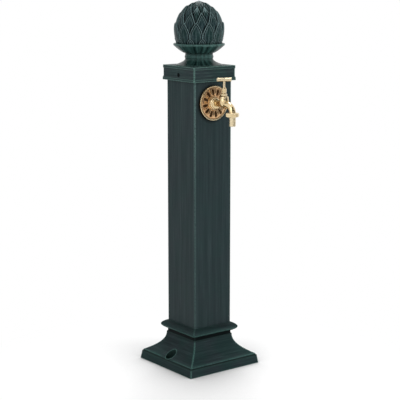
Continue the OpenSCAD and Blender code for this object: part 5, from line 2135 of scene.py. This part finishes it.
@dataclass
class Studio:
    """Pale floor, white surroundings, soft boxes, dark cards and the camera."""

    camera_place: Point = (-1.9305, -2.5249, 1.0397)
    camera_turn: Point = (79.241, 0.0, -37.4435)
    lens: float = 111.465
    sensor: float = 36.0
    room_light: float = 0.50
    floor_r: float = 6.0
    floor_stops: int = 96
    floor_colour: float = 0.92
    floor_glow: float = 0.06
    contact: float = 0.24
    fade: Range = (0.26, 0.62)
    fade_centre: Point = (-0.10, -0.13, 0.0)
    card_tone: float = 0.02
    card_stops: int = 9
    cards: tuple[Card, ...] = (
        Card(295.0, 60.0, -0.2, 5.0),
        Card(258.0, 44.0, 1.7, 4.6),
        Card(235.0, 40.0, 1.1, 2.0),
    )
    lamps: tuple[Lamp, ...] = (
        Lamp("key_box", (-2.6, -0.9, 2.1), (0.0, 0.0, 0.55), (2.4, 2.6), 24.5),
        Lamp("fill_box", (0.9, -2.6, 1.5), (0.0, 0.0, 0.5), (2.2, 2.4), 43.0),
        Lamp("back_box", (0.75, 0.95, 2.7), (0.0, 0.0, 0.4), (1.3, 1.3), 40.0),
    )

    @staticmethod
    def seen(nodes: Nodes) -> Socket:
        """Finds the rays that look at a surface: camera, glossy and transmission rays.

        Args:
            nodes: The tree that asks.

        Returns:
            1 for those rays and 0 for others.
        """
        path = nodes.node("LightPath").outputs
        total = path["Is Camera Ray"]
        for name in ("Is Glossy Ray", "Is Transmission Ray"):
            total = nodes.node("Math", {0: total, 1: path[name]}, operation="MAXIMUM").outputs["Value"]
        return total

    def stand(self, card: Card) -> None:
        """Stands one bent card round the axis, where only reflections show it.

        Args:
            card: The card.
        """
        count = self.card_stops
        bearing = np.radians(card.bearing + card.width * np.linspace(-0.5, 0.5, count))
        edge = card.distance * np.column_stack((np.cos(bearing), np.sin(bearing)))
        points = np.concatenate([np.column_stack((edge, np.full(count, z))) for z in (card.low, card.high)])
        first = np.arange(count - 1)
        faces = np.column_stack((first, first + 1, first + count + 1, first + count))
        mesh = bpy.data.meshes.new("card")
        mesh.from_pydata(points.tolist(), [], faces.tolist())
        paint = Graph("dark_card")
        paint.set(Base_Color=grey(self.card_tone), Roughness=1.0, Specular_IOR_Level=0.0)
        mesh.materials.append(paint.material)
        board = put("card", mesh)
        board.visible_camera = board.visible_diffuse = board.visible_shadow = False

    def camera(self) -> None:
        """Places the camera at the photograph's viewpoint."""
        data = bpy.data.cameras.new("photo_view")
        data.lens, data.sensor_width = self.lens, self.sensor
        camera = put("photo_view", data)
        camera.location = self.camera_place
        camera.rotation_euler = [math.radians(turn) for turn in self.camera_turn]
        bpy.context.scene.camera = camera

    def hang(self, lamp: Lamp) -> None:
        """Hangs one soft box.

        Args:
            lamp: The soft box.
        """
        data = bpy.data.lights.new(lamp.name, "AREA")
        data.shape = "RECTANGLE"
        data.size, data.size_y = lamp.sides
        data.energy = lamp.power
        light = put(lamp.name, data)
        light.location = lamp.place
        aim = Vector(lamp.target) - Vector(lamp.place)
        light.rotation_euler = aim.to_track_quat("-Z", "Y").to_euler()

    def world(self) -> None:
        """Lights the room evenly, and shows it white to the eye and to bright metal."""
        world = bpy.data.worlds.new("white_room")
        nodes = Nodes(world)
        nodes.tree.nodes.clear()
        light = nodes.node("Background", {"Color": grey(1.0), "Strength": self.room_light}).outputs[0]
        white = nodes.node("Background", {"Color": grey(1.0)}).outputs[0]
        shown = nodes.node("MixShader", {"Fac": self.seen(nodes), 1: light, 2: white})
        nodes.node("OutputWorld", {"Surface": shown.outputs[0]})
        bpy.context.scene.world = world

    def floor_paint(self) -> bpy.types.Material:
        """Makes a pale, matt floor that darkens near the part and runs out into white.

        Returns:
            The floor's material.
        """
        material = bpy.data.materials.new("pale_floor")
        nodes = Nodes(material)
        nodes.tree.nodes.clear()
        near, far = self.fade
        tone = nodes.node("AmbientOcclusion", {"Color": grey(self.floor_colour), "Distance": self.contact})
        matt = nodes.node("BsdfDiffuse", {"Color": tone.outputs["Color"]}).outputs[0]
        glow = nodes.node("Emission", {"Strength": self.floor_glow}).outputs[0]
        lit = nodes.node("AddShader", {0: matt, 1: glow}).outputs[0]
        start = nodes.node("TexCoord").outputs["Object"]
        reach = nodes.node("VectorMath", {0: start, 1: self.fade_centre}, operation="DISTANCE")
        ranges = {"Value": reach.outputs["Value"], "From Min": near, "From Max": far}
        faded = nodes.node("MapRange", ranges, interpolation_type="SMOOTHSTEP").outputs["Result"]
        white = nodes.node("Emission").outputs[0]
        shown = nodes.node("MixShader", {"Fac": faded, 1: lit, 2: white}).outputs[0]
        mixed = nodes.node("MixShader", {"Fac": self.seen(nodes), 1: matt, 2: shown})
        nodes.node("OutputMaterial", {"Surface": mixed.outputs[0]})
        return material

    def floor(self) -> None:
        """Lays a round floor that keeps the shadow."""
        angle = np.linspace(0.0, 2 * math.pi, self.floor_stops, endpoint=False)
        ring = np.column_stack((np.cos(angle), np.sin(angle), np.zeros_like(angle))) * self.floor_r
        mesh = bpy.data.meshes.new("floor")
        mesh.from_pydata(ring.tolist(), [], [list(range(len(ring)))])
        mesh.materials.append(self.floor_paint())
        floor = put("floor", mesh)

    def build(self) -> None:
        """Sets up the room, the lights and the camera."""
        bpy.context.scene.view_settings.view_transform = "Standard"
        self.world()
        self.floor()
        for lamp in self.lamps:
            self.hang(lamp)
        for card in self.cards:
            self.stand(card)
        self.camera()


def main() -> None:
    """Builds the studio and every sub-assembly in order."""
    logging.basicConfig(level=logging.INFO, format="%(name)s: %(message)s")
    for assembly in (Studio(), Foot(), Column(), Cap(), Pedestal(), PineCone(), Rosette(), Tap(), Handle()):
        assembly.build()
    dress_trim()


if __name__ == "__main__":
    main()
